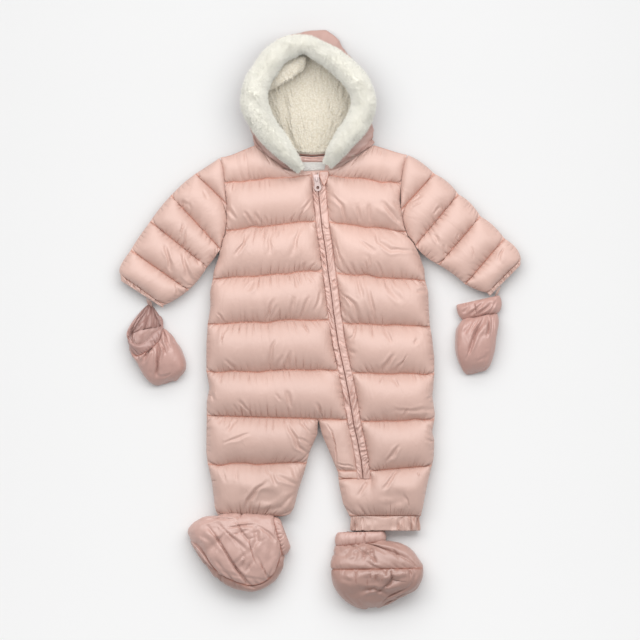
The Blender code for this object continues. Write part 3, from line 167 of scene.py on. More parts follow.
NECK_FACING = ((-36.0, 236.8), (12.0, 236.8), (12.0, 243.2), (-36.0, 243.2))
LABEL = ((-24.5, 222.8), (6.5, 224.6), (9.0, 236.4), (-27.0, 236.4))
CHIN_GUARD = ((-0.6, 214.0), (1.6, 207.5), (6.2, 199.5), (10.4, 207.5), (13.2, 217.0), (12.4, 223.2),
              (-0.6, 222.4))
LEG_CUFF_ROWS = ((-293.4, 53.0, 0.0), (-297.0, 51.0, 0.7), (-306.0, 51.0, 1.0), (-315.4, 52.0, 1.0))


PHOTO_MIDDLE, PIXEL = 320.0, 1.5  # middle of the photo in its pixels, and millimetres in a pixel


def px(*pairs):
    """Photo pixels to table millimetres."""
    return tuple(((x - PHOTO_MIDDLE) * PIXEL, (PHOTO_MIDDLE - y) * PIXEL) for x, y in pairs)


def photo_folds(table):
    """Folds of the photo: their points in its pixels, then depth and half width in millimetres."""
    return tuple((*px(*points), depth, half) for *points, depth, half in table)


def photo_dents(table):
    """Dents of the photo: x and y in its pixels, then half wide, half tall and depth in millimetres."""
    return tuple((*px((x, y))[0], wide, tall, depth) for x, y, wide, tall, depth in table)


RIGHT_CREASES = photo_folds((
    ((245, 213), (254, 226), 2.2, 2.2), ((255, 213), (261, 223), 1.6, 2.0), ((264.5, 217),
    (268, 223), 1.2, 1.8),
    ((310.6, 200), (302, 212), 2.0, 2.4), ((308, 206), (300, 218), 1.8, 2.2), ((296, 213),
    (290, 222), 1.5, 2.0),
    ((227, 207), (236.6, 219.5), 2.0, 2.4), ((313, 222.5), (321, 232.3), 1.6, 1.8),
    ((248, 233), (244, 244), (235.4, 256), 2.2, 2.6), ((270.6, 233), (269.4, 255), 1.8, 2.4),
    ((299.7, 228), (291, 257), 2.0, 2.6), ((278.5, 225.6), (276.6, 237.7), 1.2, 1.8),
    ((306, 263), (302, 269), 1.4, 1.8), ((316.7, 262), (309.4, 270.5), 1.5, 1.8),
    ((254.8, 281.4), (247.5, 291), 1.8, 2.2), ((295, 275), (297, 287.5), 1.8, 2.0),
    ((308, 276.6), (312, 282.6), 1.2, 1.7), ((274, 299.6), (265.7, 321.5), 2.0, 2.4),
    ((276.6, 304.5), (271.8, 318), 1.6, 2.0), ((295, 297), (290, 319), 2.0, 2.2),
    ((309.4, 297), (299.7, 319), 1.9, 2.2), ((321.6, 291), (315.5, 312), 1.6, 2.0),
    ((218.4, 313), (225.6, 322.7), 1.8, 2.2), ((226, 326.7), (221.4, 344.4), 1.8, 2.4),
    ((276, 339.7), (272.4, 347), (269.6, 366.6), 2.0, 2.4), ((291, 351), (286.4, 367.6), 1.8, 2.2),
    ((282.6, 354.6), (277, 367.6), 1.3, 1.8), ((303, 323), (308.6, 332.3), 1.6, 2.0),
    ((226, 360), (235.3, 369.4), 1.6, 2.2), ((222.3, 375), (219.5, 382.4), 1.3, 1.9),
    ((286.4, 390.8), (291.9, 407.5), 2.0, 2.4), ((276, 393.6), (280.8, 400), 1.2, 1.9),
    ((240, 400), (252, 414), 1.9, 2.4), ((234.4, 403.8), (239, 412), 1.3, 2.0),
    ((212, 392.6), (214, 401), 1.6, 2.2), ((317, 403), (321, 411), (323.5, 418.6), 2.6, 2.2),
    ((222.3, 417.6), (217.6, 423.2), 1.4, 2.0), ((235.3, 419.5), (228, 431.6), 1.8, 2.3),
    ((250, 433), (235.3, 438.5), (224, 442), 1.6, 2.6), ((287.3, 423.2), (294.7, 437), (298.4, 446.4),
    (307.7, 453), 3.0, 2.8),
    ((300, 422), (309.6, 431.6), 1.6, 1.8), ((296.6, 437), (310.5, 443.6), 1.3, 1.7),
    ((265, 465), (268.7, 473.4), 1.4, 2.0), ((271.5, 472.4), (277, 484.5), 1.8, 2.2),
    ((291, 465), (298.4, 479), 1.8, 2.3), ((244, 511), (248, 500), (255, 491), 1.6, 2.4),
    ((277, 475), (296.6, 483.6), 1.6, 2.8), ((222, 466), (226, 482), 1.2, 2.2), ((236, 468),
    (238, 480), 1.0, 2.2),
    ((249, 513), (249.5, 500), (256, 489), (269, 480), 2.6, 3.8), ((262, 511), (281, 506),
    (294, 493), 1.8, 3.4),
))
CROTCH_CREASES = photo_folds((
    ((326, 423), (332.5, 432), (335.4, 444), (336.4, 466), 1.8, 1.3), ((336.4, 463),
    (354.7, 466.5), 1.5, 1.3),
    ((340, 478), (352, 478.5), 1.0, 1.4),
))
LEFT_CREASES = photo_folds((
    ((381.7, 201.4), (388, 210.4), (402.3, 224.6), 3.0, 2.6), ((330.3, 195), (342, 206.6),
    (347, 222), 2.4, 2.4),
    ((357.3, 206.6), (360, 222), 1.8, 2.2), ((369, 205), (370, 220.7), 1.7, 2.1),
    ((393.3, 201.4), (399.7, 208), 1.5, 1.9), ((380.4, 150), (379, 156.4), 1.2, 1.8),
    ((333, 238.7), (344.4, 271), 2.0, 2.4), ((375.3, 232.3), (378, 242.6), (390.7, 250.3),
    (410, 250.3), 2.2, 2.6),
    ((360, 240), (375.3, 253), 1.4, 3.0), ((352, 263), (354.7, 273.4), 1.5, 1.9),
    ((365, 262), (367.6, 272), 1.5, 1.9), ((369, 256.7), (371.4, 272), 1.4, 1.8),
    ((376.6, 262), (381.7, 273.4), 1.6, 2.0), ((412.6, 250), (420, 256.7), 2.0, 2.4),
    ((340.6, 292.7), (353.4, 304.3), (360, 322.3), 2.8, 2.6), ((338, 299), (345.7, 317), 1.8, 2.2),
    ((357.3, 278.6), (362.4, 298), 1.9, 2.2), ((367.6, 289), (375.3, 321), 2.1, 2.4),
    ((385.6, 278.6), (390.7, 290), (401, 301.7), 2.0, 2.4), ((416.4, 291.4), (426.7, 291.4), 1.8, 2.6),
    ((355, 327.3), (352.8, 336), (349.6, 340.6), 1.6, 2.0), ((385, 329.6), (391.3, 343), 1.8, 2.2),
    ((418.8, 339), (413.3, 343.8), 1.5, 2.4), ((393.6, 354.8), (382, 370.5), 2.6, 2.6),
    ((407, 354.8), (394.4, 371.3), 2.0, 2.3), ((347.3, 351), (356, 353.2), 1.5, 2.0),
    ((381, 376), (378.7, 384), 1.4, 1.9), ((393.6, 377.6), (398.4, 386.2), 1.6, 2.0),
    ((426.6, 398.8), (433, 395.6), 1.6, 2.2), ((392, 410), (432, 409), 1.2, 2.8),
    ((407, 408), (404, 416), 1.4, 1.9), ((399, 445), (385.6, 461.7), 2.2, 2.5),
    ((427, 424), (432.8, 431.8), 1.8, 2.2), ((426, 438.6), (432, 442.4), 1.5, 2.4),
    ((399, 467.5), (382.7, 488.7), 2.2, 2.4), ((367.3, 480), (358.6, 495.5), 2.0, 2.4),
    ((416.4, 471.4), (420.3, 477), 1.5, 2.0), ((404, 494), (409, 506), 1.4, 2.4),
    ((326, 423), (332.5, 432), (335.4, 444), (336.4, 466), 1.6, 1.3),
))
RIGHT_DENTS = photo_dents((
    (266, 496, 21.0, 12.0, 4.2), (262, 505, 16.0, 6.0, -1.6), (236, 492, 17.0, 14.0, 1.6),
    (286, 504, 12.0, 9.0, -1.4),
    (247, 486, 12.0, 9.0, -1.2), (287, 488, 10.0, 8.0, 1.4),
))
LEFT_DENTS = photo_dents((
    (395, 499, 20.0, 14.0, 3.6), (386, 500, 9.0, 5.0, -1.5), (400, 506, 8.0, 6.0, -1.7),
    (408, 487, 14.0, 9.0, -1.5),
    (366, 492, 17.0, 12.0, 1.4), (350, 499, 9.0, 9.0, -1.2),
))
SLEEVE_RIGHT_CREASES = photo_folds((
    ((182.4, 201.4), (187, 206), 1.5, 2.0), ((189.3, 203.7), (191, 209.4), 1.4, 1.8),
    ((184.7, 223), (180, 236.9), 2.0, 2.4), ((185.9, 232.3), (183.6, 247), 1.8, 2.2),
    ((165.3, 245), (172, 272.3), 3.0, 2.6), ((182.4, 253), (188, 273.4), (194, 282.6), 2.8, 2.6),
    ((175.6, 283.7), (179, 295), 1.8, 2.2), ((203, 190), (208, 200), 1.2, 1.9), ((160, 228),
    (166, 236), 1.2, 1.9),
))
SLEEVE_LEFT_CREASES = photo_folds((
    ((410, 202.6), (421.3, 195.7), 1.6, 1.8), ((410, 208), (420, 203), 1.2, 1.7),
    ((432.7, 214), (440.7, 207), 2.0, 2.1), ((434, 234.6), (438.4, 243.7), 1.9, 2.1),
    ((443, 245), (444, 255), 1.7, 2.0), ((456.7, 234.6), (455.6, 240.3), 1.5, 2.0),
    ((503, 247), (497, 262), 2.0, 2.3), ((470, 246), (474, 258), 1.5, 2.1),
))
LINING_CREASES = photo_folds((
    ((283, 92), (289, 136), (297, 152), 3.0, 3.4), ((310, 71), (313, 90), (318, 109), 1.6, 2.4),
    ((330, 100), (336, 128), 1.8, 3.4), ((345, 88), (350, 112), 1.6, 3.2),
    ((268, 146), (300, 149), (345, 145), 1.8, 2.6),
))
MITTEN_RIGHT_CREASES = photo_folds((
    ((160.5, 333), (158.5, 358), (157.5, 376), 4.8, 2.8), ((161.5, 338), (165, 354), 3.0, 2.0),
    ((157, 338), (150, 350), (142.5, 362), 4.0, 2.6), ((152, 345), (147, 355), 2.2, 1.8),
    ((136, 352), (141, 363), 1.8, 2.0), ((164, 336), (171, 350), 1.2, 2.0), ((160, 377),
    (172, 374), 1.2, 2.2),
))
MITTEN_RIGHT_DENTS = photo_dents((
    (140, 346, 5.0, 3.5, -1.2), (152, 343, 6.0, 3.5, 1.2),
))
MITTEN_LEFT_CREASES = photo_folds((
    ((485.3, 316), (474, 335), (468.5, 352), 4.8, 3.4), ((488.2, 316), (486.6, 336), 2.8, 1.9),
    ((491, 314), (490, 338), 2.4, 1.7), ((472, 322), (463, 334), 2.6, 2.1), ((479, 318),
    (469, 333), 2.2, 2.0),
    ((466, 323), (464, 331), 1.3, 1.8), ((478, 334), (470, 350), (465, 359), 1.4, 2.0),
    ((475, 361), (486, 358), 0.8, 2.6), ((493, 318), (492, 342), 1.3, 1.8),
    ((469, 315), (483, 303), 2.2, 2.2), ((479, 313), (492, 303), 2.6, 2.3), ((462, 313),
    (470, 306), 1.4, 1.8),
    ((489, 311), (496, 301), 1.6, 1.9),
))
MITTEN_LEFT_DENTS = photo_dents((
    (461, 304, 8.0, 3.5, 3.0), (498.5, 303, 3.5, 9.0, 2.2),
))
BOOTIE_RIGHT_CREASES = photo_folds((
    ((218, 522), (227, 530), (237, 539.5), (248, 550.5), 2.4, 2.6), ((229, 527), (243, 525),
    (256, 524), 2.0, 2.4),
    ((232, 534), (249.5, 528.5), 1.4, 1.8), ((226, 531), (216, 543), (205, 555), 2.2, 4.2),
    ((257, 525), (257, 539), (250, 552), 2.6, 2.8), ((248, 551), (240, 557), (233.5, 563), 2.2, 2.4),
    ((234, 566), (243, 574), 1.8, 2.2), ((252.5, 560), (246, 571), 2.4, 2.4), ((246, 556),
    (241, 566), 2.0, 2.0),
    ((257, 554), (262, 565), (271, 582), 2.2, 1.5), ((219, 570), (240, 575), (256, 577),
    (271, 581), 0.8, 2.2),
    ((191, 529), (200, 521), (218, 518), (236, 519), 1.8, 1.8), ((258, 525), (268, 531),
    (276, 541), 1.8, 1.5),
    ((200, 533), (211, 541), 1.2, 2.4), ((196, 541), (205, 549), 1.2, 2.6),
))
BOOTIE_RIGHT_DENTS = photo_dents((
    (207, 535, 16.0, 9.0, -2.0), (224, 552, 18.0, 12.0, -1.8), (213, 549, 12.0, 10.0, 1.6),
    (264, 548, 10.0, 20.0, -1.6), (240, 566, 10.0, 9.0, 1.8),
))
BOOTIE_LEFT_CREASES = photo_folds((
    ((368.5, 541), (371, 550), (376.5, 563), 3.8, 3.2), ((365, 544), (363, 560), 2.6, 2.8),
    ((373, 567), (377, 585), 3.0, 2.4), ((381, 567), (380, 582), 2.0, 2.2), ((377, 586), (392, 580),
    (408, 575), 1.4, 4.2),
    ((369, 541), (383, 541), (401, 547), 1.8, 1.8), ((367, 541), (352, 547), (344, 556), 1.6, 2.0),
    ((371, 543), (386, 553), 1.6, 2.0), ((357, 548), (354, 560), 1.2, 2.0), ((391, 547),
    (402, 560), 1.2, 2.2),
    ((360, 590), (374, 587), (388, 592), (402, 588), 3.4, 3.6), ((409, 567), (411, 585), 1.8, 1.6),
    ((415, 572), (413, 583), 1.3, 1.9), ((376, 586), (362, 589), (346, 595), 1.0, 4.0), ((340, 577),
    (352, 581), 1.1, 2.4),
))
BOOTIE_LEFT_DENTS = photo_dents((
    (350, 578, 20.0, 13.0, -2.2), (395, 577, 15.0, 10.0, -1.4), (384, 596, 22.0, 8.0, 2.0),
))
LINING_FOLD = ((266, 92, 4.0, 25.0), (273, 83, 10.0, 26.0), (283, 75, 12.5, 27.0), (294, 67, 11.5, 27.0),
               (302, 60, 7.0, 26.0), (305, 56, 3.0, 25.0))  # photo pixel, radius and height of its middle
TRIM_LIES = ((1, 2.5, 0.0), (2, 4.0, 0.5), (3, 4.5, 1.5), (4, 4.0, 2.5), (5, 3.8, 3.3), (6, 3.0, 2.5),
             (7, 1.5, 1.0))  # station, how far the roll lies further in, and how much wider it is
TRIM_NOTCHES = ((-25.0, 392.0, 11.0, 5.0), (-62.0, 362.0, 16.0, -4.0))

# ---------------------------------------------------------------- helpers


def noise(shape, cells, seed):
    """Smooth random field of about unit size, with one bump for every `cells` (rows, columns)."""
    rng = np.random.default_rng(seed)
    rows, cols = shape
    v = np.arange(rows) / cells[0]
    u = np.arange(cols) / cells[1]
    coarse = rng.standard_normal((int(v[-1]) + 3, int(u[-1]) + 3))
    i = v.astype(int)
    j = u.astype(int)
    a = (v - i)[:, None]
    b = (u - j)[None]
    a = a * a * (3 - 2 * a)
    b = b * b * (3 - 2 * b)
    i = i[:, None]
    j = j[None]
    top = coarse[i, j] * (1 - b) + coarse[i, j + 1] * b
    foot = coarse[i + 1, j] * (1 - b) + coarse[i + 1, j + 1] * b
    return (top * (1 - a) + foot * a) * 1.4


def x_at(edge, y):
    """x of an edge at this y. The edge is a table of x and y, from its top down."""
    table = np.array(edge)[::-1]
    return np.interp(y, table[:, 1], table[:, 0])


def rounded(distance, width):
    """Quarter round: 0 at an edge, and 1 from this width on."""
    share = np.clip(np.asarray(distance) / width, 0.0, 1.0)
    return np.sqrt(1.0 - (1.0 - share) ** 2)


def smooth(table, at):
    """Catmull-Rom curve through the rows of a table, at the row numbers `at`."""
    table = np.asarray(table, float)
    last = len(table) - 1
    at = np.clip(np.asarray(at, float), 0, last)
    i = np.minimum(at.astype(int), last - 1)
    t = at - i
    t = t.reshape(t.shape + (1,) * (table.ndim - 1))
    p0 = table[np.maximum(i - 1, 0)]
    p1 = table[i]
    p2 = table[i + 1]
    p3 = table[np.minimum(i + 2, last)]
    return 0.5 * (2 * p1 + (p2 - p0) * t + (2 * p0 - 5 * p1 + 4 * p2 - p3) * t ** 2
                  + (3 * p1 - p0 - 3 * p2 + p3) * t ** 3)


def normals(grid):
    """Unit normals of a 3 x rows x columns grid."""
    du = np.zeros_like(grid)
    dv = np.zeros_like(grid)
    du[:, :, 1:-1] = grid[:, :, 2:] - grid[:, :, :-2]
    du[:, :, 0] = grid[:, :, 1] - grid[:, :, 0]
    du[:, :, -1] = grid[:, :, -1] - grid[:, :, -2]
    dv[:, 1:-1] = grid[:, 2:] - grid[:, :-2]
    dv[:, 0] = grid[:, 1] - grid[:, 0]
    dv[:, -1] = grid[:, -1] - grid[:, -2]
    found = np.cross(du, dv, axis=0)
    return found / (np.sqrt((found * found).sum(0)) + TINY)


# ---------------------------------------------------------------- cloth solver

SHEAR, DAMP, PASSES = 0.1, 0.92, 2  # stiffness of diagonals, speed kept, rounds of links in a step


def link(points, free, a, b, rest, stiffness):
    """Move both ends of each link towards the link's rest length."""
    step = points[(slice(None), *b)] - points[(slice(None), *a)]
    length = np.sqrt(step[0] ** 2 + step[1] ** 2 + step[2] ** 2) + TINY
    free_a = free[a]
    free_b = free[b]
    share = stiffness * (length - rest[a]) / (length * np.maximum(free_a + free_b, SMALL))
    points[(slice(None), *a)] += step * (share * free_a)
    points[(slice(None), *b)] -= step * (share * free_b)


def away_from_mean(points):
    """Each inner point's distance from the mean of its four neighbours, reversed."""
    out = np.zeros_like(points)
    out[:, 1:-1, 1:-1] = 0.25 * (points[:, :-2, 1:-1] + points[:, 2:, 1:-1] + points[:, 1:-1, :-2]
                                 + points[:, 1:-1, 2:]) - points[:, 1:-1, 1:-1]
    return out


def inflate(points, rest_u, rest_v, free, steps, push, limit, bend=0.1):
    """Blow a grid of cloth up between its pinned points.

    rest_u and rest_v are its cut lengths. limit keeps the points in their place at each step.
    """
    points = points.astype(np.float32)
    rest_u = rest_u.astype(np.float32)
    rest_v = rest_v.astype(np.float32)
    free = free.astype(np.float32)
    rows, cols = free.shape
    diagonal = np.sqrt(rest_u * rest_u + rest_v * rest_v)
    everything = slice(None)
    sets = []
    for first in (0, 1):
        pairs = (cols - first) // 2
        even = slice(first, first + 2 * pairs, 2)
        odd = slice(first + 1, first + 2 * pairs, 2)
        sets.append(((everything, even), (everything, odd), rest_u, 1.0))
        for up in (0, 1):
            a = (slice(up, rows - 1 + up), even)
            b = (slice(1 - up, rows - up), odd)
            sets.append((a, b, diagonal, SHEAR))
        pairs = (rows - first) // 2
        even = slice(first, first + 2 * pairs, 2)
        odd = slice(first + 1, first + 2 * pairs, 2)
        sets.append(((even, everything), (odd, everything), rest_v, 1.0))
    before = points.copy()
    for _ in range(steps):
        ahead = points + (points - before) * (DAMP * free)
        before = points
        points = ahead
        points += normals(points) * (push * free)
        for _ in range(PASSES):
            for a, b, rest, stiffness in sets:
                link(points, free, a, b, rest, stiffness)
        points -= bend * away_from_mean(away_from_mean(points)) * free
        limit(points)
    return points


def refine(points):
    """The same grid with half the cells' size, on a smooth curve through its points."""
    rows, cols = points.shape[1:]
    across = smooth(np.moveaxis(points, 2, 0), np.linspace(0, cols - 1, 2 * cols - 1))
    down = smooth(np.moveaxis(across, 2, 0), np.linspace(0, rows - 1, 2 * rows - 1))
    return np.ascontiguousarray(np.moveaxis(np.moveaxis(down, 1, 2), 0, 1)).astype(np.float32)


def spread(field):
    """A field of the coarse grid at the points of the refined one."""
    rows, cols = field.shape
    v = np.linspace(0, rows - 1, 2 * rows - 1)
    u = np.linspace(0, cols - 1, 2 * cols - 1)
    i = np.minimum(v.astype(int), rows - 2)
    j = np.minimum(u.astype(int), cols - 2)
    a = (v - i)[:, None]
    b = (u - j)[None]
    i = i[:, None]
    j = j[None]
    return ((field[i, j] * (1 - b) + field[i, j + 1] * b) * (1 - a)
            + (field[i + 1, j] * (1 - b) + field[i + 1, j + 1] * b) * a)


def doubled(values):
    """Values of the coarse rows at the refined ones."""
    rows = len(values)
    return np.interp(np.linspace(0, rows - 1, 2 * rows - 1), np.arange(rows), values)


def close_ring(field, sides, run):
    """The first `sides` columns of a field, the last `run` of them eased into the first."""
    blend = np.clip((np.arange(sides) - sides + run) / run, 0, 1)
    return field[:, :sides] * (1 - blend) + field[:, :1] * blend


# ---------------------------------------------------------------- meshes

SEAM_MERGE = 0.003  # points this near are one, in a tube or a bag
SHARP = 60.0  # edges that turn more than this are shaded sharp


class Piece:
    """Vertices and faces that become one mesh."""

    def __init__(self):
        self.points = []
        self.marks = []
        self.faces = []
        self.count = 0

    def add(self, points, faces, marks=None):
        """Points as rows of x, y, z. marks holds the seam and the gather of each point."""
        self.points.append(np.asarray(points, float).reshape(-1, 3))
        none = np.zeros((len(self.points[-1]), 2))
        self.marks.append(none if marks is None else np.reshape(marks, (-1, 2)))
        self.faces += [tuple(int(i) + self.count for i in face) for face in faces]
        self.count += len(self.points[-1])
        return self.count - len(self.points[-1])

    def add_grid(self, grid, shown=None, flip=False, marks=None):
        """A 3 x rows x columns grid; shown marks its faces by their first corner."""
        rows, cols = grid.shape[1:]
        index = np.arange(rows * cols).reshape(rows, cols)
        quads = np.stack([index[:-1, :-1], index[:-1, 1:], index[1:, 1:], index[1:, :-1]], axis=-1)
        if shown is not None:
            quads = quads[shown[: rows - 1, : cols - 1]]
        quads = quads.reshape(-1, 4)
        if flip:
            quads = quads[:, ::-1]
        return self.add(grid.reshape(3, -1).T, quads, marks)

    def add_caps(self, base, rows, sides):
        """Close both ends of a tube, whose rows repeat their first point at their end."""
        for r, turned in ((0, False), (rows - 1, True)):
            loop = [base + r * (sides + 1) + i for i in range(sides)]
            self.faces.append(tuple(loop[::-1] if turned else loop))

    def make(self, name, material, node_name=None, merge=0.0, close_at=None):
        """The mesh object. close_at fills the open edge with a flat side at that height."""
        build = bmesh.new()
        points = (np.concatenate(self.points) + SHIFT) * MM
        build.verts.layers.float.new("seam")
        build.verts.layers.float.new("gather")
        seam = build.verts.layers.float["seam"]
        gather = build.verts.layers.float["gather"]
        verts = [build.verts.new(point) for point in points]
        for vert, mark in zip(verts, np.concatenate(self.marks)):
            vert[seam] = mark[0]
            vert[gather] = mark[1]
        for face in self.faces:
            try:
                build.faces.new([verts[i] for i in face])
            except ValueError:
                continue
        if merge:
            bmesh.ops.remove_doubles(build, verts=build.verts, dist=merge * MM)
        if close_at is not None:
            close_flat(build, close_at * MM)
        loose = [vert for vert in build.verts if not vert.link_faces]
        bmesh.ops.delete(build, geom=loose, context="VERTS")
        bmesh.ops.recalc_face_normals(build, faces=build.faces)
        mesh = bpy.data.meshes.new(name)
        build.to_mesh(mesh)
        build.free()
        mesh.shade_smooth()
        mesh.set_sharp_from_angle(angle=math.radians(SHARP))
        item = linked(name, mesh, material)
        if node_name:
            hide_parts(node_name)
        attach(item, BODY)
        return item


def linked(name, mesh, material):
    """An object of the mesh, put in the scene."""
    mesh.materials.append(material)
    item = bpy.data.objects.new(name, mesh)
    bpy.context.scene.collection.objects.link(item)
    return item


def close_flat(build, level):
    """Drop a rim from each open edge to the given height, then fill it with one flat face."""
    edges = [edge for edge in build.edges if edge.is_boundary]
    made = bmesh.ops.extrude_edge_only(build, edges=edges)["geom"]
    rim = [item for item in made if isinstance(item, bmesh.types.BMVert)]
    for vert in rim:
        vert.co.z = level
    rim_edges = [item for item in made if isinstance(item, bmesh.types.BMEdge) and item.is_boundary]
    bmesh.ops.contextual_create(build, geom=rim_edges)


# ---------------------------------------------------------------- materials

SEAM_TONE_AND_SHADE, SEAM_TONE_AND_SHADE_TINT = 0.9, (0.9, 0.6, 0.5)  # how much a seam's line is darkened and tinted, and with what: the stitched line's own tone with painted shade of its groove
LEAST_PUCKER = 0.34  # share of the puckers that is left away from the seams
THREADS = 520.0


def new_material(name):
    """A material, its nodes, its shader, and the coordinates of the object."""
    material = bpy.data.materials.new(name)
    material.use_nodes = True
    tree = material.node_tree
    at = node(tree, "ShaderNodeTexCoord").outputs["Object"]
    return material, tree, tree.nodes["Principled BSDF"], at


def node(tree, kind, **settings):
    """A new node. A setting is the default of its socket, or one of its own properties."""
    made = tree.nodes.new(kind)
    for key, value in settings.items():
        if key in made.inputs:
            made.inputs[key].default_value = value
        else:
            setattr(made, key, value)
    return made


def mapped(tree, at, kind, **settings):
    """A new node that reads the coordinates `at`."""
    made = node(tree, kind, **settings)
    tree.links.new(at, made.inputs["Vector"])
    return made


def math_node(tree, operation, first, second):
    """Value of an operation on two outputs, or on an output and a number."""
    made = node(tree, "ShaderNodeMath", operation=operation)
    for number, source in enumerate((first, second)):
        if isinstance(source, float):
            made.inputs[number].default_value = source
        else:
            tree.links.new(source, made.inputs[number])
    return made.outputs["Value"]


def bump(tree, height, strength, distance, under=None):
    """Normal of a relief, over the normal of another one."""
    made = node(tree, "ShaderNodeBump", Strength=strength, Distance=distance)
    tree.links.new(height, made.inputs["Height"])
    if under is not None:
        tree.links.new(under, made.inputs["Normal"])
    return made.outputs["Normal"]


def finish_shader(tree, shader, colour, normal, settings):
    """Link colour and relief to the shader, and set its own sockets."""
    tree.links.new(colour, shader.inputs["Base Color"])
    tree.links.new(normal, shader.inputs["Normal"])
    for key, value in settings.items():
        shader.inputs[key].default_value = value


def colour_ramp(tree, source, stops):
    """Colour of a value, from stops of position and colour."""
    ramp = tree.nodes.new("ShaderNodeValToRGB")
    while len(ramp.color_ramp.elements) < len(stops):
        ramp.color_ramp.elements.new(0.5)
    for element, (position, colour) in zip(ramp.color_ramp.elements, stops):
        element.position = position
        element.color = (*colour, 1.0)
    tree.links.new(source, ramp.inputs["Fac"])
    return ramp.outputs["Color"]


def nylon(name, base, roughness=0.5, crumple=0.32, turn=0.0, spacing=(250.0, 42.0)):
    """Satin nylon: fine weave, soft crumple, and puckers that cross its seams.

    turn is the angle of its seams from the X axis, in degrees. spacing is the number of puckers
    in a metre along the seams, and how fast they change across them.
    """
    material, tree, shader, at = new_material(name)
    at = mapped(tree, at, "ShaderNodeMapping", Rotation=(0.0, 0.0, -math.radians(turn))).outputs["Vector"]
    cloud = mapped(tree, at, "ShaderNodeTexNoise", Scale=9.0, Detail=4.0, Roughness=0.6)
    deep = tuple(c * 0.95 for c in base)
    pale = tuple(min(c * 1.04, 1.0) for c in base)
    ground = colour_ramp(tree, cloud.outputs["Fac"], ((0.3, deep), (0.7, pale)))
    # The seam mark darkens and reddens the cloth along each seam: the stitched line's own tone, with
    # painted shade of the seam's groove.
    sewn = node(tree, "ShaderNodeAttribute", attribute_name="seam").outputs["Fac"]
    mix = node(tree, "ShaderNodeMix", data_type="RGBA")
    tree.links.new(math_node(tree, "MULTIPLY", sewn, SEAM_TONE_AND_SHADE), mix.inputs["Factor"])
    for socket in mix.inputs:
        if socket.name == "A" and socket.type == "RGBA":
            tree.links.new(ground, socket)
        if socket.name == "B" and socket.type == "RGBA":
            socket.default_value = (*(c * tint for c, tint in zip(base, SEAM_TONE_AND_SHADE_TINT)), 1.0)
    colour = next(socket for socket in mix.outputs if socket.type == "RGBA")

    def stretched(along, across, detail, wander):
        sized = mapped(tree, at, "ShaderNodeMapping", Scale=(along, across, across)).outputs["Vector"]
        made = mapped(tree, sized, "ShaderNodeTexNoise", Scale=1.0, Detail=detail, Roughness=0.55,
                      Distortion=wander)
        return made.outputs["Fac"]

    broad = bump(tree, stretched(78.0, 32.0, 4.0, 0.9), crumple, 0.0034)
    gathered = node(tree, "ShaderNodeAttribute", attribute_name="gather").outputs["Fac"]
    much = node(tree, "ShaderNodeMapRange")
    much.inputs["To Min"].default_value = LEAST_PUCKER
    tree.links.new(gathered, much.inputs["Value"])
    pucker = math_node(tree, "MULTIPLY", stretched(*spacing, 2.5, 0.5), much.outputs["Result"])
    fold = bump(tree, pucker, 0.62, 0.0013, broad)
    warp, weft = (mapped(tree, at, "ShaderNodeTexWave", wave_type="BANDS", bands_direction=way,
                         Scale=THREADS, Distortion=0.6).outputs["Fac"] for way in ("X", "Y"))
    weave = bump(tree, math_node(tree, "MULTIPLY", warp, weft), 0.12, 0.0001, fold)
    finish_shader(tree, shader, colour, weave, {
        "Roughness": roughness, "Specular IOR Level": 0.8, "Sheen Weight": 0.22,
        "Sheen Roughness": 0.4, "Sheen Tint": (1.0, 0.9, 0.87, 1.0)})
    return material


def plush(name, base, shade, relief, scale):
    """Matt fleece: a lumpy nap whose mottled colour is darker where the nap is low, partly random tone and
    partly painted shade in its hollows.
    """
    material, tree, shader, at = new_material(name)
    clump = mapped(tree, at, "ShaderNodeTexNoise", Scale=scale, Detail=6.0, Roughness=0.7).outputs["Fac"]
    colour = colour_ramp(tree, clump, ((0.32, shade), (0.62, base)))
    finish_shader(tree, shader, colour, bump(tree, clump, relief, 0.0015), {
        "Roughness": 0.95, "Specular IOR Level": 0.15, "Sheen Weight": 0.35, "Sheen Roughness": 0.6})
    return material


def sherpa(name, base, shade):
    """Curly fleece: small round curls over a mottled ground, the hollows between the curls painted darker
    as shade.
    """
    material, tree, shader, at = new_material(name)
    curl = mapped(tree, at, "ShaderNodeTexVoronoi", feature="SMOOTH_F1", Scale=360.0, Smoothness=0.5)
    curl = curl.outputs["Distance"]
    fuzz = mapped(tree, at, "ShaderNodeTexNoise", Scale=700.0, Detail=4.0, Roughness=0.7).outputs["Fac"]
    colour = colour_ramp(tree, curl, ((0.15, base), (0.75, shade)))
    nap = bump(tree, math_node(tree, "SUBTRACT", fuzz, curl), 0.7, 0.0016)
    finish_shader(tree, shader, colour, nap, {
        "Roughness": 0.95, "Specular IOR Level": 0.12, "Sheen Weight": 0.3, "Sheen Roughness": 0.6})
    return material


def plain(name, base, roughness, metallic=0.0, grain=400.0, relief=0.08):
    """Smooth coated or moulded surface with a faint grain."""
    material, tree, shader, at = new_material(name)
    speck = mapped(tree, at, "ShaderNodeTexNoise", Scale=grain, Detail=3.0).outputs["Fac"]
    deep = tuple(c * 0.94 for c in base)
    colour = colour_ramp(tree, speck, ((0.35, deep), (0.65, base)))
    finish_shader(tree, shader, colour, bump(tree, speck, relief, 0.0002), {
        "Roughness": roughness, "Metallic": metallic})
    return material


PINK = (0.55, 0.366, 0.312)
# Thread colour, darker than the cloth: partly the stitches' own tone, partly painted shade of the seam's
# groove.
SEAM_SHADE_THREAD_PINK = (0.40, 0.19, 0.15)


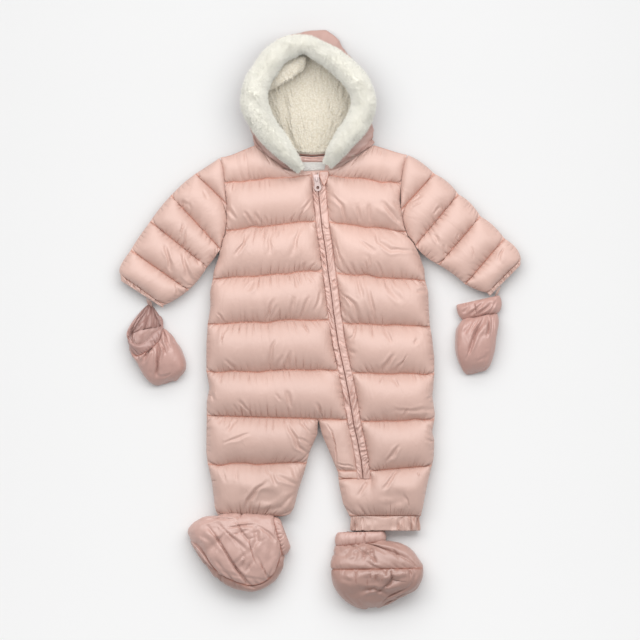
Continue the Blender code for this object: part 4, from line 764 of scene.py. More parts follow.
def make_materials():
    """Every material of the part, by a short name."""
    return {
        "shell": nylon("shell_nylon", PINK),
        "arm_right": nylon("shell_nylon_right_arm", PINK, turn=130.0),
        "arm_left": nylon("shell_nylon_left_arm", PINK, turn=48.0),
        "hood": nylon("hood_nylon", (0.43, 0.262, 0.225)),
        "mitten": nylon("mitten_nylon", (0.46, 0.275, 0.238), 0.38, 0.42, 0.0, (190.0, 60.0)),
        # Darker copy of the mitten nylon for the right mitten's open cuff: painted shade of its hollow
        # inside.
        "mitten_cuff": nylon("mitten_cuff_nylon_painted_shade", (0.36, 0.208, 0.182), 0.42, 0.42, 0.0, (190.0, 60.0)),
        "cuff": nylon("cuff_nylon", PINK, 0.45, 0.45, 0.0, (260.0, 60.0)),
        "placket": nylon("placket_nylon", (0.565, 0.368, 0.318), 0.46, 0.5, 0.0, (160.0, 120.0)),
        "bootie": nylon("bootie_nylon", (0.525, 0.33, 0.285), 0.4, 0.42, 0.0, (190.0, 60.0)),
        # Darker copy of the bootie nylon for the left upper: painted shade of the light falling across it.
        "bootie_painted_shade": nylon("left_bootie_nylon_painted_shade", (0.43, 0.262, 0.222), 0.4, 0.42, 0.0, (190.0, 60.0)),
        # Darker copy of the bootie nylon for the soles, which face down: painted shade.
        "sole": nylon("sole_nylon_painted_shade", (0.40, 0.238, 0.2), 0.38, 0.4, 0.0, (190.0, 60.0)),
        "thread": plain("sewing_thread", SEAM_SHADE_THREAD_PINK, 0.6),
        "zip": plain("zip_coil", (0.36, 0.185, 0.15), 0.42),
        "metal": plain("enamelled_metal", (0.56, 0.44, 0.42), 0.34, 0.2, 900.0, 0.04),
        "fur": plush("plush_trim", (0.885, 0.866, 0.785), (0.80, 0.78, 0.70), 0.3, 900.0),
        "sherpa": sherpa("sherpa_lining", (0.71, 0.665, 0.575), (0.61, 0.55, 0.44)),
        "label": plain("label_satin", (0.58, 0.56, 0.53), 0.5, 0.0, 1200.0),
    }


# ---------------------------------------------------------------- quilted panels

FULL_CHANNEL = 70.0  # width of a channel that puffs to its full height
SEAM_EXCESS, MIDDLE_EXCESS = 0.11, 0.045  # more cloth along a channel, at its seams and its middle
EDGE_RISE = 7.0  # run over which a panel rises from its edge to its seams' level
START_SHARE = 0.7  # share of the full height that the solver starts from
SEAM_DRIFT = 0.7  # how far a seam wanders
SIDE_SLACK = 0.4  # how far cloth may pass a panel's sides
PUSH = 0.02  # pressure of the padding
SEAM_LINE, GATHERED = 1.5, 10.0  # half widths of a stitched line and of the gathers beside it
FOLD_SEED, DENT_SEED = 5, 6


def seam_lines(seams):
    """(y at the side, y at the inner end) for each cloth row, and the numbers of the sewn rows."""
    rows = [seams[0]]
    sewn = [0]
    for above, below in zip(seams, seams[1:]):
        tall = max(abs(below[0] - above[0]), abs(below[1] - above[1]))
        count = max(int(round(tall / CELL)), 3)
        for i in range(1, count + 1):
            t = i / count
            rows.append((above[0] + (below[0] - above[0]) * t, above[1] + (below[1] - above[1]) * t))
        sewn.append(len(rows) - 1)
    return rows, sewn


def straight_rows(rows, first_x, second_x, columns):
    """2 x rows x columns grid of x, y between two edges."""
    grid = np.zeros((2, len(rows), columns))
    u = np.linspace(0.0, 1.0, columns)
    for r, (y0, y1) in enumerate(rows):
        x0 = first_x(y0)
        x1 = second_x(y1)
        grid[0, r] = x0 + (x1 - x0) * u
        grid[1, r] = y0 + (y1 - y0) * u
    return grid


def top_rows(table, columns_at, seam_row):
    """Rows from a shaped top edge down to a seam's row."""
    columns = seam_row.shape[1]
    u = np.linspace(0.0, 1.0, columns)
    table = np.array(table)
    edge = np.stack([np.interp(u, columns_at, table[:, i]) for i in (0, 1)])
    deepest = np.abs(edge[1] - seam_row[1]).max()
    count = max(int(round(deepest / CELL)), 4)
    t = np.linspace(0.0, 1.0, count + 1)[None, :, None]
    return edge[:, None] * (1 - t) + seam_row[:, None] * t


def lengths(grid):
    """Distances to the next column and the next row of a grid, full size."""
    u = np.zeros(grid.shape[1:])
    v = np.zeros(grid.shape[1:])
    u[:, :-1] = np.sqrt(((grid[:, :, 1:] - grid[:, :, :-1]) ** 2).sum(0))
    v[:-1] = np.sqrt(((grid[:, 1:] - grid[:, :-1]) ** 2).sum(0))
    u[:, -1] = u[:, -2]
    v[-1] = v[-2]
    return u, v


def channel_widths(rest_v, sewn):
    """Width of the channel that each cell lies in."""
    wide = np.zeros(rest_v.shape)
    for first, last in zip(sewn, sewn[1:]):
        wide[first: last] = rest_v[first: last].sum(0)
    wide[-1] = wide[-2]
    return wide


def crowned(rest_v, tall, wide):
    """Cut lengths across a channel whose cloth rises to the height `tall` in an arc."""
    return rest_v * (1.0 + 8.0 / 3.0 * (tall / np.maximum(wide, 1.0)) ** 2)


def between_sides(low_x, high_x, outward):
    """Limit that keeps cloth between two sides and over the panel's inside."""
    def limit(p):
        p[0] = np.maximum(p[0] * outward, low_x * outward) * outward
        p[0] = np.minimum(p[0] * outward, high_x * outward) * outward
        p[2] = np.maximum(p[2], CLOTH_LOW)
    return limit


def puff_panel(xy, sewn, seed, edges, height=13.0, held=None):
    """Inflate a quilted panel between its sewn rows.

    edges is the height and the rounding width of the first and the last column. held marks
    further pinned points.
    """
    rows, cols = xy.shape[1:]
    xy = xy.copy()
    rest_u, rest_v = lengths(xy)
    share = np.zeros(rows)
    for first, last in zip(sewn, sewn[1:]):
        share[first: last + 1] = np.linspace(0.0, 1.0, last - first + 1)
    share[list(sewn)] = 0.0
    wide = channel_widths(rest_v, sewn)
    t = share[:, None]
    full_height = height * np.minimum(wide / FULL_CHANNEL, 1.0)
    rest_v = crowned(rest_v, full_height, wide)
    near_seam = np.abs(2.0 * t - 1.0) ** 3
    taken = MIDDLE_EXCESS + (SEAM_EXCESS - MIDDLE_EXCESS) * near_seam
    uneven = np.clip(1.0 + 0.45 * noise((rows, cols), (9, 16), seed), 0.15, 2.2)
    rest_u = rest_u * (1.0 + taken * uneven)
    rest_u *= 1.0 + 0.02 * noise((rows, cols), (2.2, 1.6), seed + 1)
    rest_v = rest_v * (1.0 + 0.03 * noise((rows, cols), (3, 4), seed + 2))

    first_edge, last_edge = ([np.broadcast_to(np.reshape(part, (-1, 1)), (rows, 1)) for part in edge]
                             for edge in edges)
    from_first = np.sqrt(((xy - xy[:, :, :1]) ** 2).sum(0))
    from_last = np.sqrt(((xy - xy[:, :, -1:]) ** 2).sum(0))
    base = SEAM_TOP + (first_edge[0] - SEAM_TOP) * (1 - rounded(from_first, EDGE_RISE))
    base += (last_edge[0] - SEAM_TOP) * (1 - rounded(from_last, EDGE_RISE))
    dome = rounded(from_first, first_edge[1]) * rounded(from_last, last_edge[1])
    z = base + full_height * START_SHARE * np.sqrt(np.clip(4 * t * (1 - t), 0, 1)) * dome
    z += 1.1 * noise((rows, cols), (5, 1.7), seed + 3) * np.clip(from_first / 9.0, 0, 1)
    free = np.ones((rows, cols))
    for row in sewn:
        free[row] = 0.0
        z[row] = base[row]
        if 0 < row < rows - 1:
            drift = SEAM_DRIFT * noise((1, cols), (1, 8), seed + 10 + row)[0]
            hop = 0.9 * noise((1, cols), (1, 2.2), seed + 60 + row)[0]
            ends = np.clip(np.minimum(from_first[row], from_last[row]) / 14.0, 0.0, 1.0)
            xy[1, row] += drift * ends
            z[row] = base[row] + 0.45 * np.clip(hop, -0.6, 1.6) * ends
    free[:, 0] = 0.0
    free[:, -1] = 0.0
    z[:, :1] = first_edge[0]
    z[:, -1:] = last_edge[0]
    if held is not None:
        free[held] = 0.0
        z[held] = base[held]
    points = np.stack([xy[0], xy[1], z])
    outward = np.sign(xy[0, :, -1:] - xy[0, :, :1])
    sides = (xy[0, :, :1] - SIDE_SLACK * outward, xy[0, :, -1:] + SIDE_SLACK * outward, outward)
    push = -PUSH if outward[0, 0] > 0 else PUSH
    rough = inflate(points, rest_u, rest_v, free, STEPS, push, between_sides(*sides))
    fine_sides = (spread(np.broadcast_to(part, free.shape)) for part in sides)
    return finish_cloth(rough, rest_u, rest_v, free, push, seed + 90, share, between_sides(*fine_sides))


def finish_cloth(points, rest_u, rest_v, free, push, seed, share, limit, crinkle=(0.022, 0.05)):
    """Halve the cells and let the finer cloth settle into its small crinkles."""
    fine = refine(points)
    rows, cols = fine.shape[1:]
    rest_u = spread(rest_u) / 2
    rest_v = spread(rest_v) / 2
    loose = (spread(free) > 0.99).astype(float)
    near = np.abs(2 * doubled(share) - 1)
    near = near[:, None] ** 2
    gather = np.clip(noise((rows, cols), (12, 14), seed), -0.6, 1.6) + 0.6
    small = 1 + 0.8 * noise((rows, cols), (7, 1.7), seed + 1)
    rest_u *= 1 + (crinkle[0] + crinkle[1] * near) * gather * small
    rest_v *= 1 + 0.012 * noise((rows, cols), (2, 5), seed + 2)
    fine[2] += 0.22 * noise((rows, cols), (6, 1.5), seed + 3) * loose * (0.3 + near)
    return inflate(fine, rest_u, rest_v, loose, FINE_STEPS, push * 0.5, limit, bend=0.035)


def marks_at(far):
    """Seam line and gathered zone, each from 0 to 1, at a distance from the seam. The seam line's mark
    paints the cloth darker: the stitched line's tone with painted shade of the seam's groove.
    """
    return np.stack([np.exp(-(far / SEAM_LINE) ** 2), np.exp(-(far / GATHERED) ** 1.3)], axis=-1)


def seam_marks(shape, sewn):
    """Marks of a refined grid with the given sewn rows."""
    rows = np.arange(shape[0])[:, None]
    far = np.min([np.abs(rows - 2 * row) for row in sewn], axis=0) * CELL / 2
    return np.broadcast_to(marks_at(far), (*shape, 2)).copy()


FOLD_STRAY = 0.5  # how far a fold strays from its line


def crease(points, lines):
    """Press soft folds into a grid. Each line is ((x, y), ..., depth, half width)."""
    shape = points.shape[1:]
    x = points[0] + FOLD_STRAY * noise(shape, (8, 8), FOLD_SEED + 1)
    y = points[1] + FOLD_STRAY * noise(shape, (8, 8), FOLD_SEED + 2)
    wobble = noise(shape, (14, 14), FOLD_SEED)
    for *path, depth, half in lines:
        path = np.array(path, float)
        spans = np.sqrt(((path[1:] - path[:-1]) ** 2).sum(1))
        run = np.concatenate([[0.0], np.cumsum(spans)])
        near = np.full(x.shape, FAR)
        along = np.zeros(x.shape)
        for i, (a, b) in enumerate(zip(path, path[1:])):
            step = b - a
            t = np.clip(((x - a[0]) * step[0] + (y - a[1]) * step[1]) / (step @ step), 0, 1)
            far = np.hypot(x - a[0] - t * step[0], y - a[1] - t * step[1])
            closer = far < near
            near = np.where(closer, far, near)
            along = np.where(closer, run[i] + t * spans[i], along)
        share = along / run[-1]
        fade = np.clip(4.2 * share * (1 - share), 0, 1) ** 0.7 + 0.12
        wide = half * (1.0 + 0.25 * wobble)
        dip = np.exp(-(near / wide) ** 2) - 0.42 * np.exp(-((near - 2.1 * wide) / (0.95 * wide)) ** 2)
        points[2] -= depth * dip * fade
    return points


def dent(points, places):
    """Press soft hollows, or with a negative depth raise lumps: (x, y, half wide, half tall, depth)."""
    lean = noise(points.shape[1:], (16, 16), DENT_SEED)
    for x, y, wide, tall, depth in places:
        u = (points[0] - x) / (wide * (1 + 0.12 * lean))
        v = (points[1] - y) / tall
        far = u * u + v * v
        points[2] -= depth * np.exp(-far ** 1.5)
    return points


# ---------------------------------------------------------------- body

SIDE_EDGE = (SIDE_TOP, 26.0)
HEM_ROUND = 7.5  # how far the hem's corners are rounded in
ARMHOLE_TOP = 21.2
ARMHOLE_FOOT_RIGHT, ARMHOLE_FOOT_LEFT = 94.5, 98.0
ZIP_EDGE = (SEAM_TOP, 9.0)
RIGHT_CELLS, RIGHT_SPLIT = 83, 65  # points across the right front, and across its leg
LEFT_CELLS, LEFT_EXTRA = 62, 14  # points across the left front, and more below the zip's foot
BACK_CELLS, BACK_SPLIT = 97, 49


def zip_right(y):
    """x of the right front's edge at the zip."""
    return x_at(ZIP_LINE, y) - PLACKET_RIGHT - PLACKET_GAP


def zip_left(y):
    """x of the left front's edge at the zip."""
    return x_at(ZIP_LINE, y) + PLACKET_LEFT + PLACKET_GAP


def side_edge(y):
    """Height and rounding of the side: shallow along the armhole, deep at the open side."""
    armhole = np.clip((y - 92.0) / 10.0, 0.0, 1.0)
    return SIDE_TOP + (ARMHOLE_TOP - SIDE_TOP) * armhole, 26.0 - 14.0 * armhole


def hem_side(edge, hem, inward):
    """An outer or inner edge of a leg, rounded in over its last rows."""
    def at(y):
        return x_at(edge, y) + inward * HEM_ROUND * (1 - rounded(np.asarray(y) - hem, 17.0))
    return at


def front_grid(top, columns_at, seams, side, zip_x, columns):
    """The whole run from the shaped top edge through all the seams, and its sewn rows."""
    rows, sewn = seam_lines(seams)
    body = straight_rows(rows, lambda y: x_at(side, y), zip_x, columns)
    head = top_rows(top, columns_at, body[:, 0])
    xy = np.concatenate([head[:, :-1], body], axis=1)
    shift = head.shape[1] - 1
    return xy, [0] + [row + shift for row in sewn]


def front_right():
    """The wearer's right front: body, leg, and the strip that crosses the crotch to the zip."""
    xy, sewn = front_grid(TOP_RIGHT, RIGHT_COLUMNS, SEAMS_RIGHT, SIDE_RIGHT, zip_right, RIGHT_CELLS)
    body = puff_panel(xy, sewn, 100, (side_edge(xy[1, :, 0]), ZIP_EDGE))
    fine_split = 2 * (RIGHT_SPLIT - 1)
    last = body[:, -1]
    rows, leg_sewn = seam_lines((SEAMS_RIGHT[-1], *LEG_SEAMS_RIGHT))
    hem = LEG_SEAMS_RIGHT[-1][0]
    leg_xy = straight_rows(rows, hem_side(SIDE_RIGHT, hem, 1.0), hem_side(INSIDE_RIGHT, hem, -1.6),
                           RIGHT_SPLIT)
    leg_xy[:, 0] = last[:2, :fine_split + 1:2]
    leg = puff_panel(leg_xy, leg_sewn, 200, (SIDE_EDGE, SIDE_EDGE))
    rows, strip_sewn = seam_lines(STRIP_SEAMS)
    strip_xy = straight_rows(rows, lambda y: x_at(INSIDE_LEFT, y), zip_right, RIGHT_CELLS - RIGHT_SPLIT + 1)
    strip_xy[:, 0] = last[:2, fine_split::2]
    strip = puff_panel(strip_xy, strip_sewn, 300, ((SIDE_TOP, 12.0), ZIP_EDGE), height=9.5)
    crease(body, RIGHT_CREASES)
    last = body[:, -1]
    shell = Piece()
    shell.add_grid(body, marks=seam_marks(body.shape[1:], sewn))
    dent(leg[:, :-4], RIGHT_DENTS)
    for part, first, part_sewn in ((leg, last[:, :fine_split + 1], leg_sewn),
                                   (strip, last[:, fine_split:], strip_sewn)):
        crease(part, RIGHT_CREASES + CROTCH_CREASES)
        part[:, 0] = first
        shell.add_grid(part, marks=seam_marks(part.shape[1:], part_sewn))
    item = shell.make("front_right_cloth", MATERIALS["shell"], "front_right", merge=0.02, close_at=LOW)
    return (body, sewn), (leg, leg_sewn), (strip, strip_sewn)


def left_leg_grid(rows, foot):
    """Grid of the left leg, and where it shows: wider below the zip's foot, at row `foot`."""
    foot_y = LEG_SEAMS_LEFT[1][0]
    xy = np.zeros((2, len(rows), LEFT_CELLS + LEFT_EXTRA))
    u = np.linspace(0.0, 1.0, LEFT_CELLS)
    more = (np.arange(LEFT_EXTRA) + 1) / LEFT_EXTRA
    foot_zip = zip_left(foot_y)
    foot_side = x_at(SIDE_LEFT, foot_y)
    foot_inner = x_at(INSIDE_LEFT, foot_y)
    middle = (foot_side - foot_zip) / (foot_side - foot_inner)
    for r, (y0, y1) in enumerate(rows):
        x0 = x_at(SIDE_LEFT, y0)
        if r <= foot:
            x1 = zip_left(y1)
            xy[0, r, :LEFT_CELLS] = x0 + (x1 - x0) * u
            xy[1, r, :LEFT_CELLS] = y0 + (y1 - y0) * u
            xy[0, r, LEFT_CELLS:] = x1 + (foot_inner - foot_zip) * more
            xy[1, r, LEFT_CELLS:] = y1
        else:
            shares = np.concatenate([u * middle, middle + (1 - middle) * more])
            xy[0, r] = x0 + (x_at(INSIDE_LEFT, y0) - x0) * shares
            xy[1, r] = y0
    shown = np.ones(xy.shape[1:], bool)
    shown[:foot, LEFT_CELLS - 1:] = False
    return xy, shown


def front_left():
    """The wearer's left front, with the leg that the zip runs into."""
    xy, sewn = front_grid(TOP_LEFT, LEFT_COLUMNS, SEAMS_LEFT, SIDE_LEFT, zip_left, LEFT_CELLS)
    body = puff_panel(xy, sewn, 400, (side_edge(xy[1, :, 0]), ZIP_EDGE))
    rows, leg_rows = seam_lines(LEG_SEAMS_LEFT)
    foot = leg_rows[1]
    xy, shown = left_leg_grid(rows, foot)
    xy[:, 0, :LEFT_CELLS] = body[:2, -1, ::2]
    held = ~shown
    held[:foot + 1, LEFT_CELLS - 1:] = True
    leg_sewn = [0, len(rows) - 1]
    leg = puff_panel(xy, leg_sewn, 500, (SIDE_EDGE, SIDE_EDGE), held=held)
    crease(body, LEFT_CREASES)
    crease(leg, LEFT_CREASES)
    dent(leg[:, :-4], LEFT_DENTS)
    leg[:, 0, :2 * LEFT_CELLS - 1] = body[:, -1]
    shown = np.ones(leg.shape[1:], bool)
    shown[:2 * foot, 2 * LEFT_CELLS - 2:] = False
    marks = seam_marks(leg.shape[1:], leg_sewn)
    marks[2 * foot, 2 * LEFT_CELLS - 2:] = 1.0
    shell = Piece()
    shell.add_grid(body, marks=seam_marks(body.shape[1:], sewn))
    shell.add_grid(leg, shown, marks=marks)
    item = shell.make("front_left_cloth", MATERIALS["shell"], "front_left", merge=0.02, close_at=LOW)
    return body, sewn


def back_height(xy, sewn, from_top, from_foot, seed):
    """Underside of the back: flat where it lies, grooved at its seams, rounded at its edges."""
    rows, cols = xy.shape[1:]
    from_first = np.abs(xy[0] - xy[0, :, :1])
    from_last = np.abs(xy[0] - xy[0, :, -1:])
    down = rounded(from_first, BACK_ROUND) * rounded(from_last, BACK_ROUND)
    down *= rounded(from_top, BACK_ROUND) * rounded(from_foot, BACK_ROUND / 2.0)
    near = np.full((rows, cols), FAR)
    for row in sewn:
        near = np.minimum(near, np.abs(xy[1] - xy[1, row][None]))
    groove = 3.2 * np.exp(-(near / 4.5) ** 2) + 0.9 * np.exp(-(near / 14.0) ** 2)
    ripple = 0.8 * noise((rows, cols), (5, 2.4), seed) * np.exp(-(near / 16.0) ** 2)
    ripple += 0.5 * noise((rows, cols), (9, 5), seed + 1)
    z = 14.2 * (1.0 - down) + (groove + ripple) * np.clip(down * 1.4, 0, 1)
    return np.maximum(z, REST)


def back():
    """The whole back, body and both legs, of which only the rim shows from above."""
    xy, sewn = front_grid(TOP_BACK, BACK_COLUMNS, SEAMS_BACK, SIDE_RIGHT,
                          lambda y: x_at(SIDE_LEFT, y), BACK_CELLS)
    top_x, top_y = np.array(TOP_BACK).T
    from_top = np.maximum(np.interp(xy[0], top_x, top_y) - xy[1], 0)
    z = back_height(xy, sewn, from_top, np.full(xy.shape[1:], FAR), 700)
    shell = Piece()
    shell.add_grid(np.stack([xy[0], xy[1], z]))
    last = np.stack([xy[0, -1], xy[1, -1], z[-1]])
    crotch = SEAMS_BACK[-1][0]
    hem = LEG_SEAMS_BACK[-1][0]
    rows, leg_sewn = seam_lines((SEAMS_BACK[-1], *LEG_SEAMS_BACK))
    sides = ((slice(0, BACK_SPLIT), hem_side(SIDE_RIGHT, hem, 1.0), hem_side(INSIDE_RIGHT, hem, -1.6), 720),
             (slice(BACK_SPLIT - 1, BACK_CELLS), hem_side(INSIDE_LEFT, hem, 0.0),
              hem_side(SIDE_LEFT, hem, 0.0), 740))
    for take, first, second, seed in sides:
        first_row = last[:, take]
        leg = straight_rows(rows, first, second, first_row.shape[1])
        leg[:, 0] = first_row[:2]
        z = back_height(leg, leg_sewn, np.full(leg.shape[1:], FAR), leg[1] - hem, seed)
        ease = np.clip((crotch - leg[1]) / 12.0, 0, 1)
        z = first_row[2][None] * (1 - ease) + z * ease
        shell.add_grid(np.stack([leg[0], leg[1], z]))
    item = shell.make("back_cloth", MATERIALS["shell"], "back", merge=0.02, close_at=BACK_TOP)


# ---------------------------------------------------------------- sleeves

SLEEVE_CHANNELS = 5
ARMHOLE_GAP = -0.35
FOLD_WALL = 4.5
SLEEVE_ROWS = 25  # cells along each channel
SLEEVE_UPPER, SLEEVE_LOWER = 40, 12  # cells across each layer
SLEEVE_PUFF = 12.2
SLEEVE_LOW = 17.2  # the upper layer's cloth stays over this
CUFF_ROWS, CUFF_UPPER = 15, 62


def sleeve_section(sections, position):
    """The sleeve's fold and inner side here, on a parabola through each channel's three sections."""
    channel = min(int(position), len(sections) // 2 - 1)
    t = position - channel
    a, b, c = (np.array(sections[2 * channel + i]) for i in range(3))
    return a * (1 - t) * (1 - 2 * t) + b * 4 * t * (1 - t) + c * t * (2 * t - 1)


def sleeve_ends(sections, positions, armhole, armhole_foot, inward):
    """x, y of the fold, then of the inner side, at each position, kept off the armhole."""
    ends = np.zeros((len(positions), 4))
    for r, position in enumerate(positions):
        section = sleeve_section(sections, position)
        near = [x_at(armhole, section[3] + step) for step in (-3.0, 0.0, 3.0)]
        limit_x = (min(near) if inward > 0 else max(near)) - inward * ARMHOLE_GAP
        if inward * section[2] > inward * limit_x and section[3] > armhole_foot:
            section[2] = limit_x
        ends[r] = section
    return ends


def sleeve_under(positions, width, under, share, seed):
    """Height of the lower layer: flat where it lies, grooved at its seams."""
    from_hem = (SLEEVE_CHANNELS - positions)[:, None] * 60.0
    down = rounded(under[None] * width, BACK_ROUND) * rounded((1 - under[None]) * width, BACK_ROUND)
    down = down * rounded(from_hem, 11.0) * rounded(positions[:, None] * 25.0, BACK_ROUND)
    groove = 2.6 * np.exp(-(np.minimum(share, 1 - share) / 0.09) ** 2)
    z = 14.0 * (1 - down) + groove * down
    z += 0.6 * noise(z.shape, (5, 3), seed + 7) * np.clip(down, 0, 1)
    return np.maximum(z, REST)


def between_edges(over, fold_edge, inner_edge):
    """Limit that keeps cloth between the fold and the inner side, measured along `over`."""
    def limit(p):
        at = over[0] * p[0] + over[1] * p[1]
        beyond = np.maximum(at - (fold_edge[:, None] + 0.3), 0)
        beyond += np.minimum(at - (inner_edge[:, None] - 0.3), 0)
        p[0] -= beyond * over[0]
        p[1] -= beyond * over[1]
        p[2] = np.maximum(p[2], SLEEVE_LOW)
    return limit


def sleeve(name, sections, armhole, armhole_foot, inward, seed, lines):
    """One panel folded at the top of the arm: the puffed upper layer, the fold, the lower layer."""
    rows = SLEEVE_CHANNELS * SLEEVE_ROWS + 1
    positions = np.linspace(0.0, SLEEVE_CHANNELS, rows)
    sewn = [channel * SLEEVE_ROWS for channel in range(SLEEVE_CHANNELS + 1)]
    ends = sleeve_ends(sections, positions, armhole, armhole_foot, inward)
    start = ends[:, None, 2:4]
    fold = ends[:, None, 0:2]
    across = np.linspace(1.0, 0.0, SLEEVE_UPPER + 1)
    under = np.linspace(0.0, 1.0, SLEEVE_LOWER + 1)[1:]
    xy = np.moveaxis(fold + (start - fold) * across[None, :, None], 2, 0)
    low_xy = fold + (start - fold) * under[None, :, None]
    width = np.hypot(ends[:, 0] - ends[:, 2], ends[:, 1] - ends[:, 3])[:, None]
    share = positions[:, None] % 1.0
    share[-1] = 0.0
    low_z = sleeve_under(positions, width, under, share, seed)

    rest_u, rest_v = lengths(xy)
    wide = channel_widths(rest_v, sewn)
    tall = SLEEVE_PUFF * np.minimum(wide / 48.0, 1.0) * np.minimum(width / 45.0, 1.0)
    rest_v = crowned(rest_v, tall, wide)
    near_seam = np.abs(2 * share - 1) ** 3
    shape = rest_u.shape
    uneven = np.clip(1 + 0.5 * noise(shape, (8, 12), seed), 0.1, 2.2)
    rest_u *= 1 + (0.035 + 0.065 * near_seam) * uneven
    rest_u *= 1 + 0.02 * noise(shape, (2.2, 1.6), seed + 1)
    rest_v *= 1 + 0.03 * noise(shape, (3, 4), seed + 2)
    from_inner = (1 - across[None]) * width
    from_fold = across[None] * width
    armhole_part = np.clip((ends[:, 3] - armhole_foot + 4.0) / 10.0, 0.0, 1.0)[:, None]
    inner_top = SIDE_TOP + (ARMHOLE_TOP - SIDE_TOP) * armhole_part
    base = SEAM_TOP + (inner_top - SEAM_TOP) * (1 - rounded(from_inner, EDGE_RISE))
    base = base + (SEAM_LEVEL - SEAM_TOP) * (1 - rounded(from_fold, 6.0))
    dome = rounded(from_inner, 24.0 - 12.0 * armhole_part) * rounded(from_fold, 24.0)
    z = base + tall * START_SHARE * np.sqrt(np.clip(4 * share * (1 - share), 0, 1)) * dome
    z += 0.9 * noise(shape, (5, 2), seed + 3) * np.clip(from_inner / 9, 0, 1) * np.clip(from_fold / 9, 0, 1)
    free = np.ones(shape)
    for row in sewn:
        free[row] = 0
        z[row] = base[row]
        if 0 < row < rows - 1:
            ease = np.clip(np.minimum(from_inner[row], from_fold[row]) / 12, 0, 1)
            z[row] += np.clip(0.4 * noise((1, shape[1]), (1, 2.2), seed + 60 + row)[0], -0.4, 0.8) * ease
    free[:, 0] = 0
    free[:, -1] = 0
    z[:, :1] = inner_top
    z[:, -1] = SEAM_LEVEL
    points = np.stack([xy[0], xy[1], z])
    arm = (ends[-1, :2] + ends[-1, 2:] - ends[0, :2] - ends[0, 2:])
    arm /= np.linalg.norm(arm)
    over = np.array((-arm[1], arm[0]))
    halfway = rows // 2
    if over @ (ends[halfway, :2] - ends[halfway, 2:]) < 0:
        over = -over
    edge = over[0] * ends[:, 0] + over[1] * ends[:, 1]
    inner = over[0] * ends[:, 2] + over[1] * ends[:, 3]

    push = PUSH if normals(points)[2].mean() > 0 else -PUSH
    top = inflate(points, rest_u, rest_v, free, STEPS, push, between_edges(over, edge, inner))
    low = np.stack([low_xy[..., 0], low_xy[..., 1], low_z])
    low = refine(np.concatenate([top[:, :, -1:], low], axis=2))
    low[2] = np.maximum(low[2], LEAST_Z)
    fine_limit = between_edges(over, doubled(edge), doubled(inner))
    top = finish_cloth(top, rest_u, rest_v, free, push, seed + 90, share[:, 0], fine_limit, (0.016, 0.045))
    crease(top, lines)
    low[:, :, 0] = top[:, :, -1]
    whole = np.concatenate([top, low[:, :, 1:]], axis=2)
    fine_ends = np.stack([doubled(column) for column in ends.T], axis=1)
    material = MATERIALS["arm_right" if inward > 0 else "arm_left"]
    marks = seam_marks(whole.shape[1:], sewn)
    item = folded_wall(name + "_cloth", whole, fine_ends, material, name, marks=marks)
    return top, sewn


def folded_wall(name, whole, ends, material, node_name, share=0.2, marks=None):
    """Close an outer skin that runs over the top layer, round the fold and back under it."""
    total, cols = whole.shape[1:]
    width = np.hypot(ends[:, 0] - ends[:, 2], ends[:, 1] - ends[:, 3])
    inset = np.minimum(FOLD_WALL, share * width) / np.maximum(width, SMALL)
    half = 0.6 * np.ones_like(inset)
    one = np.ones_like(inset)
    inner_cols = 6
    inside = np.zeros((3, total, inner_cols))
    levels = (LOW, LOW, LOW, BACK_TOP, BACK_TOP, BACK_TOP)
    for column, (at, level) in enumerate(zip((one, half, inset, inset, half, one), levels)):
        for axis in (0, 1):
            inside[axis, :, column] = ends[:, axis] + (ends[:, 2 + axis] - ends[:, axis]) * at
        inside[2, :, column] = level
    inside[:2, :, 0] = whole[:2, :, 0]
    inside[:2, :, -1] = whole[:2, :, -1]
    shell = Piece()
    first = shell.add_grid(whole, marks=marks)
    second = shell.add_grid(inside, flip=True)
    for r in range(total - 1):
        a, b = first + r * cols, first + (r + 1) * cols
        c, d = second + r * inner_cols, second + (r + 1) * inner_cols
        shell.faces.append((b, a, c, d))
        shell.faces.append((a + cols - 1, b + cols - 1, d + inner_cols - 1, c + inner_cols - 1))
    for r, turned in ((0, False), (total - 1, True)):
        loop = [first + r * cols + i for i in range(cols)]
        loop += [second + r * inner_cols + i for i in reversed(range(inner_cols))]
        shell.faces.append(tuple(loop[::-1] if turned else loop))
    return shell.make(name, material, node_name, merge=0.004)


def sleeve_cuff(name, hem, edge, seed):
    """Gathered cuff, folded flat like its sleeve, with a piped edge."""
    hem = np.array(hem, float)
    edge = np.array(edge, float)
    length = np.hypot(*(edge - hem)[:2])
    start = hem + (edge - hem) * 0.3 / length
    t = np.linspace(0, 1, CUFF_ROWS)[:, None]
    ends = start * (1 - t) + edge * t
    width = np.hypot(*(ends[0, :2] - ends[0, 2:]))
    across = np.linspace(1.0, 0.0, CUFF_UPPER + 1)[None, :, None]
    under = np.linspace(0.0, 1.0, CUFF_UPPER // 2 + 1)[1:][None, :, None]
    swell = np.sin(np.pi * np.clip(t * 1.15, 0, 1)) ** 0.6
    pipe = np.exp(-((t - 0.9) / 0.09) ** 2)
    parts = []
    for layer, at, cells in ((1, across, 2.6), (-1, under, 1.5)):
        xy = ends[:, None, :2] + (ends[:, None, 2:] - ends[:, None, :2]) * at
        shape = xy.shape[:2]
        gather = noise(shape, (40, cells), seed + layer) + 0.6 * noise(shape, (7, 1.7), seed + 4 + layer)
        ease = rounded(at[..., 0] * width, 8.0) * rounded((1 - at[..., 0]) * width, 8.0)
        rise = 1.3 + 1.6 * swell + 0.7 * pipe + gather * (0.8 * swell + 0.3) * ease
        z = SEAM_LEVEL + layer * (0.15 + np.maximum(rise + 1.0, 0.8) * ease)
        if layer > 0:
            z[:, -1] = SEAM_LEVEL
        parts.append(np.stack([xy[..., 0], xy[..., 1], z]))
    whole = refine(np.concatenate(parts, axis=2))
    fine = np.stack([doubled(column) for column in ends.T], axis=1)
    item = folded_wall(name + "_cloth", whole, fine, MATERIALS["cuff"], name, share=0.02)


# ---------------------------------------------------------------- hood

